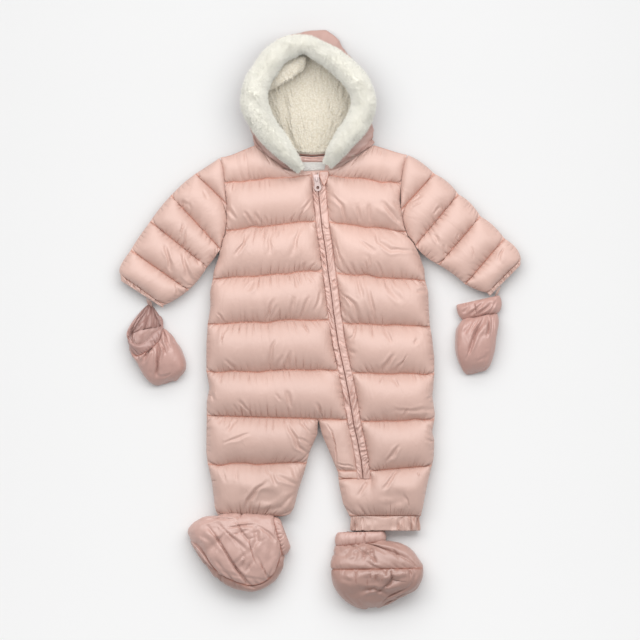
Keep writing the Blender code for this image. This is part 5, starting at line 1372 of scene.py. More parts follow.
HOOD_RIM, HOOD_WIDEST, HOOD_CORNER_WIDEST, HOOD_COLLAR_WIDEST = 29.0, 15.0, 20.0, 25.0
HOOD_BULGE = 1.5
HOOD_TURN = ((5.0, 4.5), (15.0, 0.0))
HOOD_FLAT_STEPS = (0.33, 0.62, 0.9)
HOOD_COLLAR_STEPS = (0.17, 0.33, 0.5, 0.67, 0.83, 1.0)
HOOD_SHELL_WALL, HOOD_LINING_WALL, HOOD_LINING_HEM, HOOD_LINING_GAP = 2.2, 4.0, 1.0, 0.8
HOOD_BACK_FROM, HOOD_BACK_TO = 3, 17
HOOD_MIDDLE = (-18.0, 320.0)
HOOD_PANELS = (("hood_shell_right", 0, 8), ("hood_shell_centre", 8, 12), ("hood_shell_left", 12, 19))
ALONG, DEEP = 10, 7  # points of the hood for each of its stations and each step down
LINING_ALONG, LINING_DEEP = 14, 10


def hood_sections():
    """Outer skin of the hood: a row of points for each station, from the rim round to its seam."""
    rows = []
    for station, (tx, ty, _, wx, wy, sx, sy, sz) in enumerate(HOOD):
        rim_point = np.array((tx, ty, HOOD_RIM))
        wide = np.array((wx, wy, HOOD_WIDEST))
        seam = np.array((sx, sy, sz))
        if HOOD_BACK_FROM < station < HOOD_BACK_TO:
            flat = seam[:2] - wide[:2]
            reach = np.linalg.norm(flat)
            way = flat / reach
            section = [rim_point, (rim_point + wide) / 2 + np.array((0, 0, HOOD_BULGE)), wide]
            for run, height in HOOD_TURN:
                section.append(np.array((*(wide[:2] + way * run), height)))
            flat_from = HOOD_TURN[-1][0]
            for share in HOOD_FLAT_STEPS:
                section.append(np.array((*(wide[:2] + way * (flat_from + (reach - flat_from) * share)), 0)))
            section.append(seam)
        else:
            corner = station in (HOOD_BACK_FROM, HOOD_BACK_TO)
            wide[2] = HOOD_CORNER_WIDEST if corner else HOOD_COLLAR_WIDEST
            section = [rim_point, (rim_point + wide) / 2, wide]
            section += [wide + (seam - wide) * share for share in HOOD_COLLAR_STEPS]
        rows.append(section)
    return np.array(rows)


def skin_normals(points):
    """Normals of the hood's sections, level at the rim."""
    along = np.gradient(points, axis=0)
    down = np.gradient(points, axis=1)
    found = np.cross(down, along)
    found[:, 0, 2] = 0.0
    return found / np.linalg.norm(found, axis=2, keepdims=True)


def dense(points, first=0, last=None, along=ALONG, deep=DEEP):
    """A hood grid of stations x depth, smoothly refined between two stations, as 3 x rows x columns."""
    last = len(points) - 1 if last is None else last
    steps = points.shape[1] - 1
    across = smooth(points, np.linspace(first, last, (last - first) * along + 1))
    down = smooth(np.moveaxis(across, 1, 0), np.linspace(0, steps, steps * deep + 1))
    return np.moveaxis(down, 2, 0).transpose(0, 2, 1)


def rim(shell, outer, inner, run, inner_run):
    """Join an edge of a fine skin to the same edge of its lining, which has half the cells."""
    for k in range(len(inner_run) - 1):
        shell.faces.append((outer + run[2 * k + 2], outer + run[2 * k + 1], outer + run[2 * k],
                            inner + inner_run[k], inner + inner_run[k + 1]))


def join_rims(shell, outer, inner, size, inner_size, round_closed, end_open=True):
    """Join two skins of the given rows and columns along every free edge."""
    rows, cols = size
    inner_rows, inner_cols = inner_size
    first = list(range(cols))
    inner_first = list(range(inner_cols))
    side = [r * cols for r in range(rows)]
    inner_side = [r * inner_cols for r in range(inner_rows)]
    rim(shell, outer, inner, first, inner_first)
    if end_open:
        rim(shell, outer, inner, [side[-1] + i for i in first][::-1],
            [inner_side[-1] + i for i in inner_first][::-1])
    if not round_closed:
        rim(shell, outer, inner, side[::-1], inner_side[::-1])
        rim(shell, outer, inner, [i + cols - 1 for i in side], [i + inner_cols - 1 for i in inner_side])


def two_skins(name, outer, inner, material, node_name, wrap=False, marks=None):
    """Close two grids of one size into a wall. The hidden inner skin keeps every second point."""
    shell = Piece()
    if wrap:
        outer = np.concatenate([outer, outer[:, :, :1]], axis=2)
        inner = np.concatenate([inner, inner[:, :, :1]], axis=2)
    inner = inner[:, ::2, ::2]
    first = shell.add_grid(outer, marks=marks)
    second = shell.add_grid(inner, flip=True)
    join_rims(shell, first, second, outer.shape[1:], inner.shape[1:], wrap)
    return shell.make(name, material, node_name, merge=SEAM_MERGE if wrap else 0.0)


def off_rims(cols, first, last):
    """Share for each column: 0 at both rims, 1 from `first` and `last` columns in."""
    at = np.arange(cols)
    return np.clip(at / first, 0, 1)[None] * np.clip((cols - 1 - at) / last, 0, 1)[None]


def hood_panels(skin, shell_inner):
    """The three rumpled shell panels, pulled in at the seams between them."""
    for number, (name, first, last) in enumerate(HOOD_PANELS):
        outer = dense(skin, first, last)
        inner = dense(shell_inner, first, last)
        face = normals(outer)
        towards = np.sign(((inner - outer) * face).sum(0).mean())
        rows, cols = outer.shape[1:]
        away = np.minimum(np.arange(rows), rows - 1 - np.arange(rows))[:, None] / 3.0
        rumple = 1.1 * noise((rows, cols), (7, 12), 800 + number)
        rumple = rumple + 0.7 * noise((rows, cols), (3, 6), 810 + number)
        rumple = rumple + 0.8 * noise((rows, cols), (2.2, 9), 820 + number) * np.exp(-away / 2.5)
        rumple = np.clip(rumple, -1.7, 1.7) - 1.0 * np.exp(-away ** 2)
        outer = outer - face * towards * rumple * off_rims(cols, 5.0, 4.0)
        outer[2] = np.maximum(outer[2], 0.02)
        inner[2] = np.maximum(inner[2], 1.0)
        far = 2.5 * np.minimum(np.arange(cols), cols - 1 - np.arange(cols))
        marks = np.broadcast_to(marks_at(far), (rows, cols, 2))
        item = two_skins(name + "_cloth", outer, inner, MATERIALS["hood"], name, marks=marks)


def hood_lining(shell_inner, into):
    """The sherpa inside the hood, lumpy and creased."""
    walls = np.array([HOOD_LINING_WALL if HOOD_BACK_FROM < i < HOOD_BACK_TO else HOOD_LINING_HEM
                      for i in range(len(HOOD))])[:, None, None]
    lining_outer = shell_inner + into * HOOD_LINING_GAP
    for corner in (HOOD_BACK_FROM, HOOD_BACK_TO):
        inward = np.array(HOOD_MIDDLE) - lining_outer[corner, :, :2]
        inward /= np.linalg.norm(inward, axis=1)[:, None]
        lining_outer[corner, 1:, :2] += inward[1:] * 3.0
    outer = dense(lining_outer, along=LINING_ALONG, deep=LINING_DEEP)
    inner = dense(lining_outer + into * walls, along=LINING_ALONG, deep=LINING_DEEP)
    face = normals(inner)
    towards = np.sign(((inner - outer) * face).sum(0).mean())
    shape = inner.shape[1:]
    lumps = np.abs(noise(shape, (2.4, 1.8), 850)) + 0.6 * np.abs(noise(shape, (1.5, 1.3), 851))
    rolls = 1.5 * noise(shape, (24, 20), 852)
    inner = inner + face * towards * (0.85 * lumps + rolls * off_rims(shape[1], 8.0, 6.0))
    crease(inner, LINING_CREASES)
    outer[2] = np.maximum(outer[2], 2.6)
    inner[2] = np.maximum(inner[2], 3.6)
    item = two_skins("hood_lining_pile", inner, outer, MATERIALS["sherpa"], "hood_lining")


def hood():
    """Shell, lining, the lining's fold and the plush roll."""
    skin = hood_sections()
    into = skin_normals(skin)
    shell_inner = skin + into * HOOD_SHELL_WALL
    hood_panels(skin, shell_inner)
    hood_lining(shell_inner, into)
    lining_fold()
    trim()


TRIM_ALONG = 12  # rings of the roll for each station
TRIM_SIDES = 36
TRIM_HEIGHT = 15.0  # the roll is no higher than this to each side of its middle
TRIM_IN = 3.4  # the roll under the pile, inside the trim's own size
PILE = 6.2  # length of the pile
PILE_COUNT = 28000
PILE_MESHES = 2
PILE_THICK = 0.6


def trim():
    """Roll of plush round the face opening: a soft roll, and a pile of short fine strands on it."""
    table = np.array(HOOD)
    last = len(HOOD) - 1
    at = np.linspace(0, last, last * TRIM_ALONG + 1)
    centre = smooth(table[:, :2], at)
    half = smooth(table[:, 2], at)
    along = np.gradient(centre, axis=0)
    along /= np.linalg.norm(along, axis=1)[:, None]
    lies = np.zeros((len(HOOD), 2))
    for station, shift, wider in TRIM_LIES:
        lies[station] = shift, wider
    lies = smooth(lies, at)
    centre = centre + lies[:, :1] * np.stack([along[:, 1], -along[:, 0]], axis=1)
    half = half + lies[:, 1]
    rows, sides = len(at), TRIM_SIDES
    angle = 2 * np.pi * np.arange(sides) / sides
    lump = 0.4 * noise((rows, sides + 4), (13, 9), 900) + 0.25 * noise((rows, sides + 4), (5, 4), 901)
    lump = close_ring(lump, sides, 6)
    height = np.minimum(half, TRIM_HEIGHT)
    middle = HOOD_RIM + 0.3 + height
    size = np.maximum(half[:, None] - TRIM_IN + lump, 1.5)
    tall = np.maximum(height[:, None] - TRIM_IN + lump, 1.5)
    grid = np.zeros((3, rows, sides))
    grid[0] = centre[:, :1] + along[:, 1:] * size * np.cos(angle)
    grid[1] = centre[:, 1:] - along[:, :1] * size * np.cos(angle)
    grid[2] = middle[:, None] + tall * np.sin(angle)
    for x, y, radius, deep in TRIM_NOTCHES:
        near = np.exp(-(((grid[0] - x) ** 2 + (grid[1] - y) ** 2) / radius ** 2))
        push = np.stack([grid[0] - x, grid[1] - y])
        push /= np.sqrt((push ** 2).sum(0)) + SMALL
        grid[:2] += push * near * deep
        grid[2] -= near * abs(deep) * 0.3
    closed = np.concatenate([grid, grid[:, :, :1]], axis=2)
    shell = Piece()
    shell.add_caps(shell.add_grid(closed), rows, sides)
    item = shell.make("hood_trim_roll", MATERIALS["fur"], "hood_trim", merge=SEAM_MERGE)
    out = normals(closed)
    if ((closed - grid.mean(axis=2, keepdims=True)) * out).sum(0).mean() < 0:
        out = -out
    for number in range(PILE_MESHES):
        pile("hood_trim_pile_%d" % (number + 1), closed, out, 910 + 40 * number)


def unit(vectors):
    """The vectors, each along the first axis, with a length of one."""
    return vectors / (np.sqrt((vectors ** 2).sum(0)) + SMALL)


def pile(name, closed, out, seed):
    """Fine strands over the roll, shaded as one soft surface."""
    rows, sides = closed.shape[1], closed.shape[2] - 1
    rng = np.random.default_rng(seed)
    r = rng.uniform(0, rows - 1.001, PILE_COUNT)
    c = rng.uniform(0, sides - 0.001, PILE_COUNT)
    i, j = r.astype(int), c.astype(int)
    a, b = (r - i)[None], (c - j)[None]

    def sample(field):
        return ((field[:, i, j] * (1 - b) + field[:, i, j + 1] * b) * (1 - a)
                + (field[:, i + 1, j] * (1 - b) + field[:, i + 1, j + 1] * b) * a)

    root = sample(closed)
    up = unit(sample(out))
    swirl = np.stack([noise(closed.shape[1:], (6, 5), 920 + k) for k in range(3)])
    lean = unit(up + 0.2 * sample(swirl) + 0.26 * rng.standard_normal((3, PILE_COUNT)))
    lean = np.where((lean * up).sum(0) < 0.3, up, lean)
    long = PILE * rng.uniform(0.6, 1.1, PILE_COUNT)
    side = unit(np.cross(lean, rng.standard_normal((3, PILE_COUNT)), axis=0))
    other = np.cross(lean, side, axis=0)
    tip = root + lean * long
    root = root - up * 0.8
    corners = [root + PILE_THICK * (side * math.cos(k) + other * math.sin(k)) for k in (0, 2.1, 4.2)]
    points = np.stack([*corners, tip], axis=1).transpose(2, 1, 0).reshape(-1, 3)
    start = 4 * np.arange(PILE_COUNT)[:, None]
    tris = np.concatenate([start + np.array(t) for t in ((0, 1, 3), (1, 2, 3), (2, 0, 3))])
    item = quick_mesh(name, points, tris, MATERIALS["fur"])
    facing = 0.55 * up + 0.2 * lean + 0.22 * rng.standard_normal((3, PILE_COUNT))
    facing[2] += 0.6
    facing /= np.sqrt((facing ** 2).sum(0))
    item.data.normals_split_custom_set_from_vertices(np.repeat(facing.T, 4, axis=0))


def lining_fold():
    """Roll of the lining that bulges out under the trim, up on the hood's right side."""
    path = px(*(point[:2] for point in LINING_FOLD))
    table = np.array([(*place, *point[2:]) for place, point in zip(path, LINING_FOLD)])
    rows, sides = 61, 48
    at = smooth(table, np.linspace(0, len(table) - 1, rows))
    along = np.gradient(at[:, :2], axis=0)
    along /= np.linalg.norm(along, axis=1)[:, None]
    angle = 2 * np.pi * np.arange(sides) / sides
    lump = 0.9 * np.abs(noise((rows, sides + 4), (2.4, 2.0), 870))
    lump = close_ring(lump + 0.8 * noise((rows, sides + 4), (9, 8), 871), sides, 6)
    taper = rounded(np.minimum(np.arange(rows), rows - 1 - np.arange(rows)), 14.0)[:, None]
    size = (at[:, 2:3] + lump) * taper + 0.2
    grid = np.stack([at[:, 0:1] + along[:, 1:2] * size * np.cos(angle),
                     at[:, 1:2] - along[:, 0:1] * size * np.cos(angle),
                     at[:, 3:4] + 0.62 * size * np.sin(angle)])
    shell = Piece()
    shell.add_caps(shell.add_grid(np.concatenate([grid, grid[:, :, :1]], axis=2)), rows, sides)
    item = shell.make("hood_lining_fold", MATERIALS["sherpa"], merge=SEAM_MERGE)


def quick_mesh(name, points, faces, material):
    """Mesh of many small separate forms, built from arrays."""
    mesh = bpy.data.meshes.new(name)
    mesh.from_pydata((np.asarray(points) + SHIFT) * MM, [], np.asarray(faces).tolist())
    mesh.shade_smooth()
    item = linked(name, mesh, material)
    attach(item, BODY)
    return item


# ---------------------------------------------------------------- mittens and booties

BAG_SIDES = 14
BAG_LIFT, BAG_OUT, BAG_FLOOR = 0.7, 0.9, 0.09
MITTEN_WALL, BOOTIE_WALL = 2.2, 3.2
TIP_TURNS = (0.35, 0.7, 1.0, 1.25, 1.42)  # rings that round off a closed tip
NO_ROW = -99  # stands for a seam where there is none
BAG_REACH = 5.5  # how far the cloth may puff from its bag's own form


def bag_grid(table, positions, angles, rows, tip=False, slant=None):
    """Skin of a bag between its first and last position, as a 3 x rows x columns grid.

    slant is how far the rings turn, the position about which they do, and the run of it.
    """
    positions = np.array(positions, float)
    where = np.linspace(0, len(positions) - 1, rows)
    low = np.interp(where, np.arange(len(positions)), positions[:, 0])[:, None]
    high = np.interp(where, np.arange(len(positions)), positions[:, 1])[:, None]
    lift = np.sin(angles)[None]
    lift = np.sign(lift) * np.abs(lift) ** BAG_LIFT
    out = np.cos(angles)[None]
    out = np.sign(out) * np.abs(out) ** BAG_OUT
    at = low + (high - low) * (1 + lift) / 2
    if slant:
        turn, about, run = slant
        at = at + turn * out * np.exp(-((at - about) / run) ** 2)
    ax, ay, bx, by, height = np.moveaxis(smooth(table, at), -1, 0)
    height = np.maximum(height, 3.0)
    x = (ax + bx) / 2 + (bx - ax) / 2 * out
    y = (ay + by) / 2 + (by - ay) / 2 * out
    z = height / 2 * (1 + lift)
    z = np.where(lift < 0, np.maximum(z - BAG_FLOOR * height, REST), z)
    grid = np.stack([x, y, z])
    if tip:
        last, before = grid[:, -1], grid[:, -4]
        centre = last.mean(axis=1, keepdims=True)
        step = centre - before.mean(axis=1, keepdims=True)
        step[2] *= 0.3
        step /= np.linalg.norm(step) + TINY
        reach = np.sqrt(((last - centre) ** 2).sum(0)).mean()
        extra = []
        for turn in TIP_TURNS:
            shrunk = centre + (last - centre) * math.cos(turn) + step * reach * 0.3 * math.sin(turn)
            shrunk[2] = np.maximum(shrunk[2], REST)
            extra.append(shrunk[:, None])
        grid = np.concatenate([grid, *extra], axis=1)
    return grid


def stays_near(home):
    """Limit that keeps each point over the surface and within reach of its home."""
    def limit(p):
        p[2] = np.maximum(p[2], REST)
        step = p - home
        far = np.sqrt((step ** 2).sum(0))
        p[:] = home + step * np.minimum(1.0, BAG_REACH / (far + SMALL))
    return limit


def outward_sign(grid, face, middle):
    """1 if the normals of a skin point away from its middle, and -1 if they point inwards."""
    return 1.0 if ((grid - middle) * face).sum(0).mean() > 0 else -1.0


def bag_shell(outer, inner, marks, closed, wrapped):
    """Join the two skins of a bag at its mouth, its sides and its tip."""
    shell = Piece()
    rows, cols = outer.shape[1:]
    inner_rows, inner_cols = inner.shape[1:]
    first = shell.add_grid(outer, marks=marks)
    second = shell.add_grid(inner, flip=True)
    join_rims(shell, first, second, outer.shape[1:], inner.shape[1:], wrapped, not closed)
    if closed:
        foot = first + (rows - 1) * cols
        inner_foot = second + (inner_rows - 1) * inner_cols
        shell.faces.append(tuple(foot + i for i in range(cols - wrapped)))
        shell.faces.append(tuple(inner_foot + i for i in reversed(range(inner_cols - wrapped))))
        if not wrapped:
            shell.faces.append((foot, foot + cols - 1, inner_foot + inner_cols - 1, inner_foot))
    return shell


def soft_bag(name, table, positions, wall, material, seed, closed=False, arc=None, columns=80, rows=28,
             slack=(0.05, 0.05), lines=(), places=(), fill=0.4, mouth_slack=0.0, slant=None, pleats=0.0,
             sewn_ends=(True, False)):
    """Puffed wall of a bag. arc picks a run of its angles; otherwise it goes all round.

    slack is more cloth round and along the bag, mouth_slack more at its first ring, and pleats
    the depth of the folds inside. lines are its folds and places its dents.
    """
    wrapped = arc is None
    angles = np.linspace(*(arc or (-math.pi / 2, 1.5 * math.pi)), columns + 1)
    grid = bag_grid(table, positions, angles, rows, closed, slant)
    rest_u, rest_v = lengths(grid)
    shape = rest_u.shape
    t = np.linspace(0, 1, shape[0])[:, None]
    around = slack[0] + mouth_slack * np.exp(-(t / 0.16) ** 2)
    rest_u *= 1 + around * np.clip(1 + 0.7 * noise(shape, (7, 8), seed), 0, 2.4)
    rest_u *= 1 + 0.03 * noise(shape, (2.5, 2), seed + 1)
    rest_v *= 1 + slack[1] * np.clip(1 + 0.7 * noise(shape, (6, 9), seed + 2), 0, 2.4)
    rest_v *= 1 + 0.03 * noise(shape, (2, 2.5), seed + 3)
    free = np.ones(shape)
    free[0] = free[-1] = 0
    free[:, 0] = free[:, -1] = 0
    if closed:
        free[-len(TIP_TURNS):] = 0
    face = normals(grid)
    ring = grid if wrapped else bag_grid(table, positions, np.linspace(0, 2 * math.pi, 25), shape[0])
    sign = outward_sign(grid, face, ring.mean(axis=2, keepdims=True))
    start = grid + face * sign * 0.5 * noise(shape, (3, 3), seed + 4) * free
    start[2] = np.maximum(start[2], REST)

    outer = inflate(start, rest_u, rest_v, free, STEPS, sign * 0.012, stays_near(start.copy()), bend=0.06)
    outer = refine(outer)
    rest_u = spread(rest_u) / 2
    rest_v = spread(rest_v) / 2
    fine = rest_u.shape
    rest_u *= 1 + 0.035 * np.clip(1 + noise(fine, (9, 2.6), seed + 5), 0, 2.6)
    rest_v *= 1 + 0.025 * np.clip(1 + noise(fine, (3, 8), seed + 6), 0, 2.6)
    loose = (spread(free) > 0.99).astype(float)
    outer = inflate(outer, rest_u, rest_v, loose, FINE_STEPS, sign * 0.005, stays_near(refine(start)),
                    bend=0.03)
    upper = np.clip((outer[2] - 4.0) / 5.0, 0.0, 1.0)
    pressed = dent(crease(outer.copy(), lines), places)[2]
    outer[2] += (pressed - outer[2]) * upper
    outer[2] = np.maximum(outer[2], LEAST_Z)
    face = normals(refine(grid))
    inner = refine(grid) - face * sign * wall
    if pleats:
        inner += face * sign * pleats * noise(fine, (26, 2.4), seed + 7) * np.clip(loose + 0.2, 0, 1)
    depth = ((outer - inner) * face * sign).sum(0)
    inner -= face * sign * np.maximum(0.8 - depth, 0)
    if wrapped:
        outer[:, :, -1] = outer[:, :, 0]
        inner[:, :, -1] = inner[:, :, 0]
    if closed and wrapped:
        # The inside ends a wall short of the tip.
        reach = grid[:, -1].mean(axis=1) - grid[:, -10].mean(axis=1)
        reach /= np.linalg.norm(reach) + TINY
        inner[:, -6:] -= reach[:, None, None] * wall
    inner = inner[:, ::2, ::2]
    inner[2] = np.maximum(inner[2], 0.9)
    ends = [row for row, sewn in zip((0, shape[0] - 1), sewn_ends) if sewn]
    marks = seam_marks(fine, ends or [NO_ROW])
    if not wrapped:
        marks = np.maximum(marks, seam_marks(fine[::-1], [0, shape[1] - 1]).transpose(1, 0, 2))
    shell = bag_shell(outer, inner, marks, closed, wrapped)
    item = shell.make(name + "_cloth", MATERIALS[material], name, merge=SEAM_MERGE)


def level(*rows):
    """Positions of rings that lie along the table's own rows."""
    return [(row, row) for row in rows]


def mittens():
    """Both mittens and their gathered cuffs, which are open."""
    cuff = {"rows": 16, "fill": 0.2, "sewn_ends": (False, True)}
    turned = (-0.95, 3.9, 1.3)
    soft_bag("mitten_right_cuff", MITTEN_RIGHT, [(0.0, 3.5), (1.2, 3.85), (2.45, 4.24)], MITTEN_WALL,
             "mitten_cuff", 1000, slack=(0.07, 0.04), slant=turned, pleats=1.7,
             places=MITTEN_RIGHT_DENTS, **cuff)
    hand = [(2.45, 4.24), (3.6, 4.8), (5.0, 5.4), (6.2, 6.3), (7.1, 7.15), (8.0, 8.0)]
    soft_bag("mitten_right", MITTEN_RIGHT, hand, MITTEN_WALL, "mitten", 1020, True, slack=(0.05, 0.06),
             lines=MITTEN_RIGHT_CREASES, mouth_slack=0.10, slant=turned)
    soft_bag("mitten_left_cuff", MITTEN_LEFT, level(0.0, 1.0, 1.98), MITTEN_WALL, "mitten", 1040,
             slack=(0.07, 0.05), lines=MITTEN_LEFT_CREASES, mouth_slack=0.03,
             places=MITTEN_LEFT_DENTS, pleats=0.6, **cuff)
    soft_bag("mitten_left", MITTEN_LEFT, level(1.98, 2.6, 3.6, 4.8, 5.8, 7.0), MITTEN_WALL, "mitten", 1060,
             True, lines=MITTEN_LEFT_CREASES, mouth_slack=0.14)


def booties():
    """Both booties, each with its collar, upper and sole."""
    collar = {"rows": 14, "fill": 0.3, "sewn_ends": (True, True)}
    collar_rings = level(0.0, 0.5, 0.985)
    soft_bag("bootie_right_collar", BOOTIE_RIGHT, collar_rings, BOOTIE_WALL, "bootie", 1100,
             slack=(0.08, 0.03), mouth_slack=0.06, **collar)
    rings = level(1.0, 2.0, 3.0, 4.0, 5.0, 6.0, 7.0, 7.9)
    step = 2 * math.pi / BAG_SIDES
    seam = 10.5 * step + 0.01
    back_seam = (15.5 - BAG_SIDES) * step
    soft_bag("bootie_right", BOOTIE_RIGHT, rings, BOOTIE_WALL, "bootie", 1120, True,
             arc=(back_seam + 0.01, seam - 0.01), columns=60, rows=52, slack=(0.03, 0.05),
             lines=BOOTIE_RIGHT_CREASES, places=BOOTIE_RIGHT_DENTS)
    soft_bag("bootie_right_sole", BOOTIE_RIGHT, rings, BOOTIE_WALL, "sole", 1140, True,
             arc=(seam + 0.01, back_seam + 2 * math.pi - 0.01), columns=30, rows=52, slack=(0.04, 0.05))
    soft_bag("bootie_left_collar", BOOTIE_LEFT, collar_rings, BOOTIE_WALL, "bootie", 1160,
             slack=(0.08, 0.04), mouth_slack=0.04, **collar)
    soft_bag("bootie_left", BOOTIE_LEFT, level(1.0, 1.7, 2.5, 3.405), BOOTIE_WALL, "bootie_painted_shade", 1180,
             columns=96, rows=22, slack=(0.06, 0.05), lines=BOOTIE_LEFT_CREASES, mouth_slack=0.10,
             sewn_ends=(True, True))
    soft_bag("bootie_left_sole", BOOTIE_LEFT, level(3.415, 4.2, 5.0, 6.0, 7.0, 7.85), BOOTIE_WALL, "sole",
             1200, True, columns=96, slack=(0.05, 0.06), lines=BOOTIE_LEFT_CREASES,
             places=BOOTIE_LEFT_DENTS)


def mitten_tab(name, loop):
    """Short flat loop of the shell's nylon, with a stitched edge on both sides."""
    *middle, (half_x, half_y) = loop
    at = smooth(np.array(middle), np.linspace(0, 2, 13))
    across = np.linspace(-1, 1, 9)[None]
    x = at[:, :1] + across * half_x
    y = at[:, 1:2] + across * half_y
    bulge = 0.35 * (1 - np.abs(across) ** 4) - 0.25 * np.exp(-((np.abs(across) - 0.7) / 0.12) ** 2)
    z = at[:, 2:] + 0 * x
    item = two_skins(name + "_loop", np.stack([x, y, z + 0.55 + bulge]), np.stack([x, y, z - 0.6]),
                     MATERIALS["cuff"], name)


LEG_CUFF_MIDDLE_X, LEG_CUFF_MIDDLE, LEG_CUFF_HALF, LEG_CUFF_WALL = 97.5, 11.5, 9.5, 2.4
LEG_CUFF_OUT, LEG_CUFF_LIFT = 0.6, 0.55


def leg_cuff():
    """Elastic cuff at the end of the left leg, gathered by its elastic."""
    rows, sides = 25, 240
    at = np.linspace(0, 3, rows)
    y, half, gathered = (np.interp(at, range(4), column)[:, None] for column in np.array(LEG_CUFF_ROWS).T)
    angle = 2 * np.pi * np.arange(sides) / sides
    out = np.sign(np.cos(angle)) * np.abs(np.cos(angle)) ** LEG_CUFF_OUT
    lift = np.sign(np.sin(angle)) * np.abs(np.sin(angle)) ** LEG_CUFF_LIFT
    wave = noise((rows, sides + 8), (30, 4.2), 1300) + 0.5 * noise((rows, sides + 8), (9, 2.6), 1301)
    wave = close_ring(wave, sides, 16)
    share = np.linspace(0, 1, rows)[:, None]
    swell = np.sin(np.pi * share) ** 0.7
    tall = LEG_CUFF_HALF - 0.6 + 1.5 * swell + 1.9 * wave * gathered
    x = LEG_CUFF_MIDDLE_X + (half + 0.6 * wave * gathered) * out
    z = LEG_CUFF_MIDDLE + tall * lift
    outer = np.stack([x, y + 0.9 * share * np.abs(wave), np.maximum(z, REST)])
    inside = np.stack([LEG_CUFF_MIDDLE_X + (half - LEG_CUFF_WALL) * out, y + 0 * x,
                       LEG_CUFF_MIDDLE + (LEG_CUFF_HALF - 2.0 - LEG_CUFF_WALL) * lift + 0 * x])
    item = two_skins("leg_cuff_left_cloth", outer, inside, MATERIALS["cuff"], "leg_cuff_left", wrap=True)


# ---------------------------------------------------------------- zip, neck

PLACKET_HEAD = 221.0
CHAIN_HEAD = 196.0
UNDER_ZIP = LOW + 0.3
TAPE_SECTION = ((-1.1, 0.0), (-0.5, 0.35), (0.0, 0.35), (0.5, 0.35), (1.1, 0.0))  # across, rise
COIL_PITCH = 1.25
COIL_TURN = (0.62, 0.36, 0.5)  # half sizes of a turn
GUARD_LOW = 24.5  # underside of the chin guard
STRIP_LEVEL, STRIP_RISE = 20.9, 1.3  # the strips beside the zip, at their edges and at their middle
STRIP_LOW, STRIP_HIGH = 19.4, 24.3
STRIP_CALM = 212.0  # above this the strips hardly pucker


def placket(name, start, end, seed):
    """One edge strip of the zip: doubled nylon that meets its panel, with chevron puckers."""
    rows, cols = 501, 15
    y = np.linspace(PLACKET_HEAD, PLACKET_FOOT, rows)
    u = np.linspace(0, 1, cols)
    outside = start < 0
    x = x_at(ZIP_LINE, y)[:, None] + start + (end - start) * u[None]
    from_zip = np.abs(x - x_at(ZIP_LINE, y)[:, None])
    field = noise((rows + 60, cols), (5.5, 30), seed) + 0.7 * noise((rows + 60, cols), (3.1, 7), seed + 1)
    steep = 0.9 + 0.8 * noise((rows, 1), (45, 1), seed + 2)
    at = np.arange(rows)[:, None] + steep * from_zip * rows / (PLACKET_HEAD - PLACKET_FOOT) + 8
    at = np.clip(at, 0, rows + 58)
    i = at.astype(int)
    share = at - i
    j = np.broadcast_to(np.arange(cols), i.shape)
    pucker = field[i, j] * (1 - share) + field[i + 1, j] * share
    amount = 0.35 + 0.65 * np.clip(0.9 + 0.8 * noise((rows, 1), (38, 1), seed + 3), 0.1, 1.7)
    amount = amount * np.clip((STRIP_CALM - y) / 30.0, 0.12, 1.0)[:, None]
    for pull, reach in PLACKET_PULLS:
        _, pull_y = px((0.0, pull))[0]
        amount += 0.9 * np.exp(-((y - pull_y) / reach) ** 2)[:, None]
    cross = 1 - np.abs(2 * u - 1) ** 3
    z = STRIP_LEVEL + STRIP_RISE * cross[None] + 0.8 * pucker * amount * (0.3 + 0.7 * cross[None])
    hemmed = np.exp(-((u - (0.86 if outside else 0.14)) / 0.07) ** 2)
    z = z - 0.55 * hemmed[None] * (1 + 0.4 * pucker)
    meets = rounded(u if outside else 1 - u, 0.14)[None]
    z = (SEAM_TOP - 0.15) * (1 - meets) + z * meets
    marks = np.zeros((rows, cols, 2))
    # The edge that meets the panel takes the seam mark: the seam's own tone with painted shade.
    marks[:, 0 if outside else -1, 0] = 0.7
    marks[:, :, 1] = 0.8
    top = np.stack([x, y[:, None] + 0 * x, np.clip(z, STRIP_LOW, STRIP_HIGH)])
    foot = top.copy()
    foot[2] = UNDER_ZIP
    item = two_skins(name + "_strip", top, foot, MATERIALS["placket"], name, marks=marks)


def zip_chain():
    """Closed coil zip: two rows of slanted coil turns on a tape."""
    y = np.linspace(CHAIN_HEAD + 0.4, PLACKET_FOOT, 331)[:, None]
    across, rise = np.array(TAPE_SECTION).T
    top = np.stack(np.broadcast_arrays(x_at(ZIP_LINE, y) + across[None], y, 20.0 + rise[None]))
    foot = top.copy()
    foot[2] = UNDER_ZIP
    item = two_skins("zip_chain_tape", top, foot, MATERIALS["zip"], "zip_chain")
    points = []
    faces = []
    box = np.array([(a, b, c) for a in (-1, 1) for b in (-1, 1) for c in (-1, 1)], float)
    quads = np.array(((0, 1, 3, 2), (4, 6, 7, 5), (0, 4, 5, 1), (2, 3, 7, 6), (0, 2, 6, 4), (1, 5, 7, 3)))
    for n in range(int((CHAIN_HEAD - PLACKET_FOOT) / COIL_PITCH)):
        yc = CHAIN_HEAD - n * COIL_PITCH
        xc = float(x_at(ZIP_LINE, yc))
        for side in (-1, 1):
            tooth = box * np.array(COIL_TURN)
            tooth[:, 1] += side * tooth[:, 0] * 0.45 + (side > 0) * COIL_PITCH / 2
            tooth[:, :2] *= 1.0 - 0.22 * (box[:, 2:] > 0)
            points.append(tooth + np.array((xc + side * 0.5, yc, 20.85)))
            faces.append(quads + 8 * len(faces))
    quick_mesh("zip_chain_coil", np.concatenate(points), np.concatenate(faces), MATERIALS["zip"])


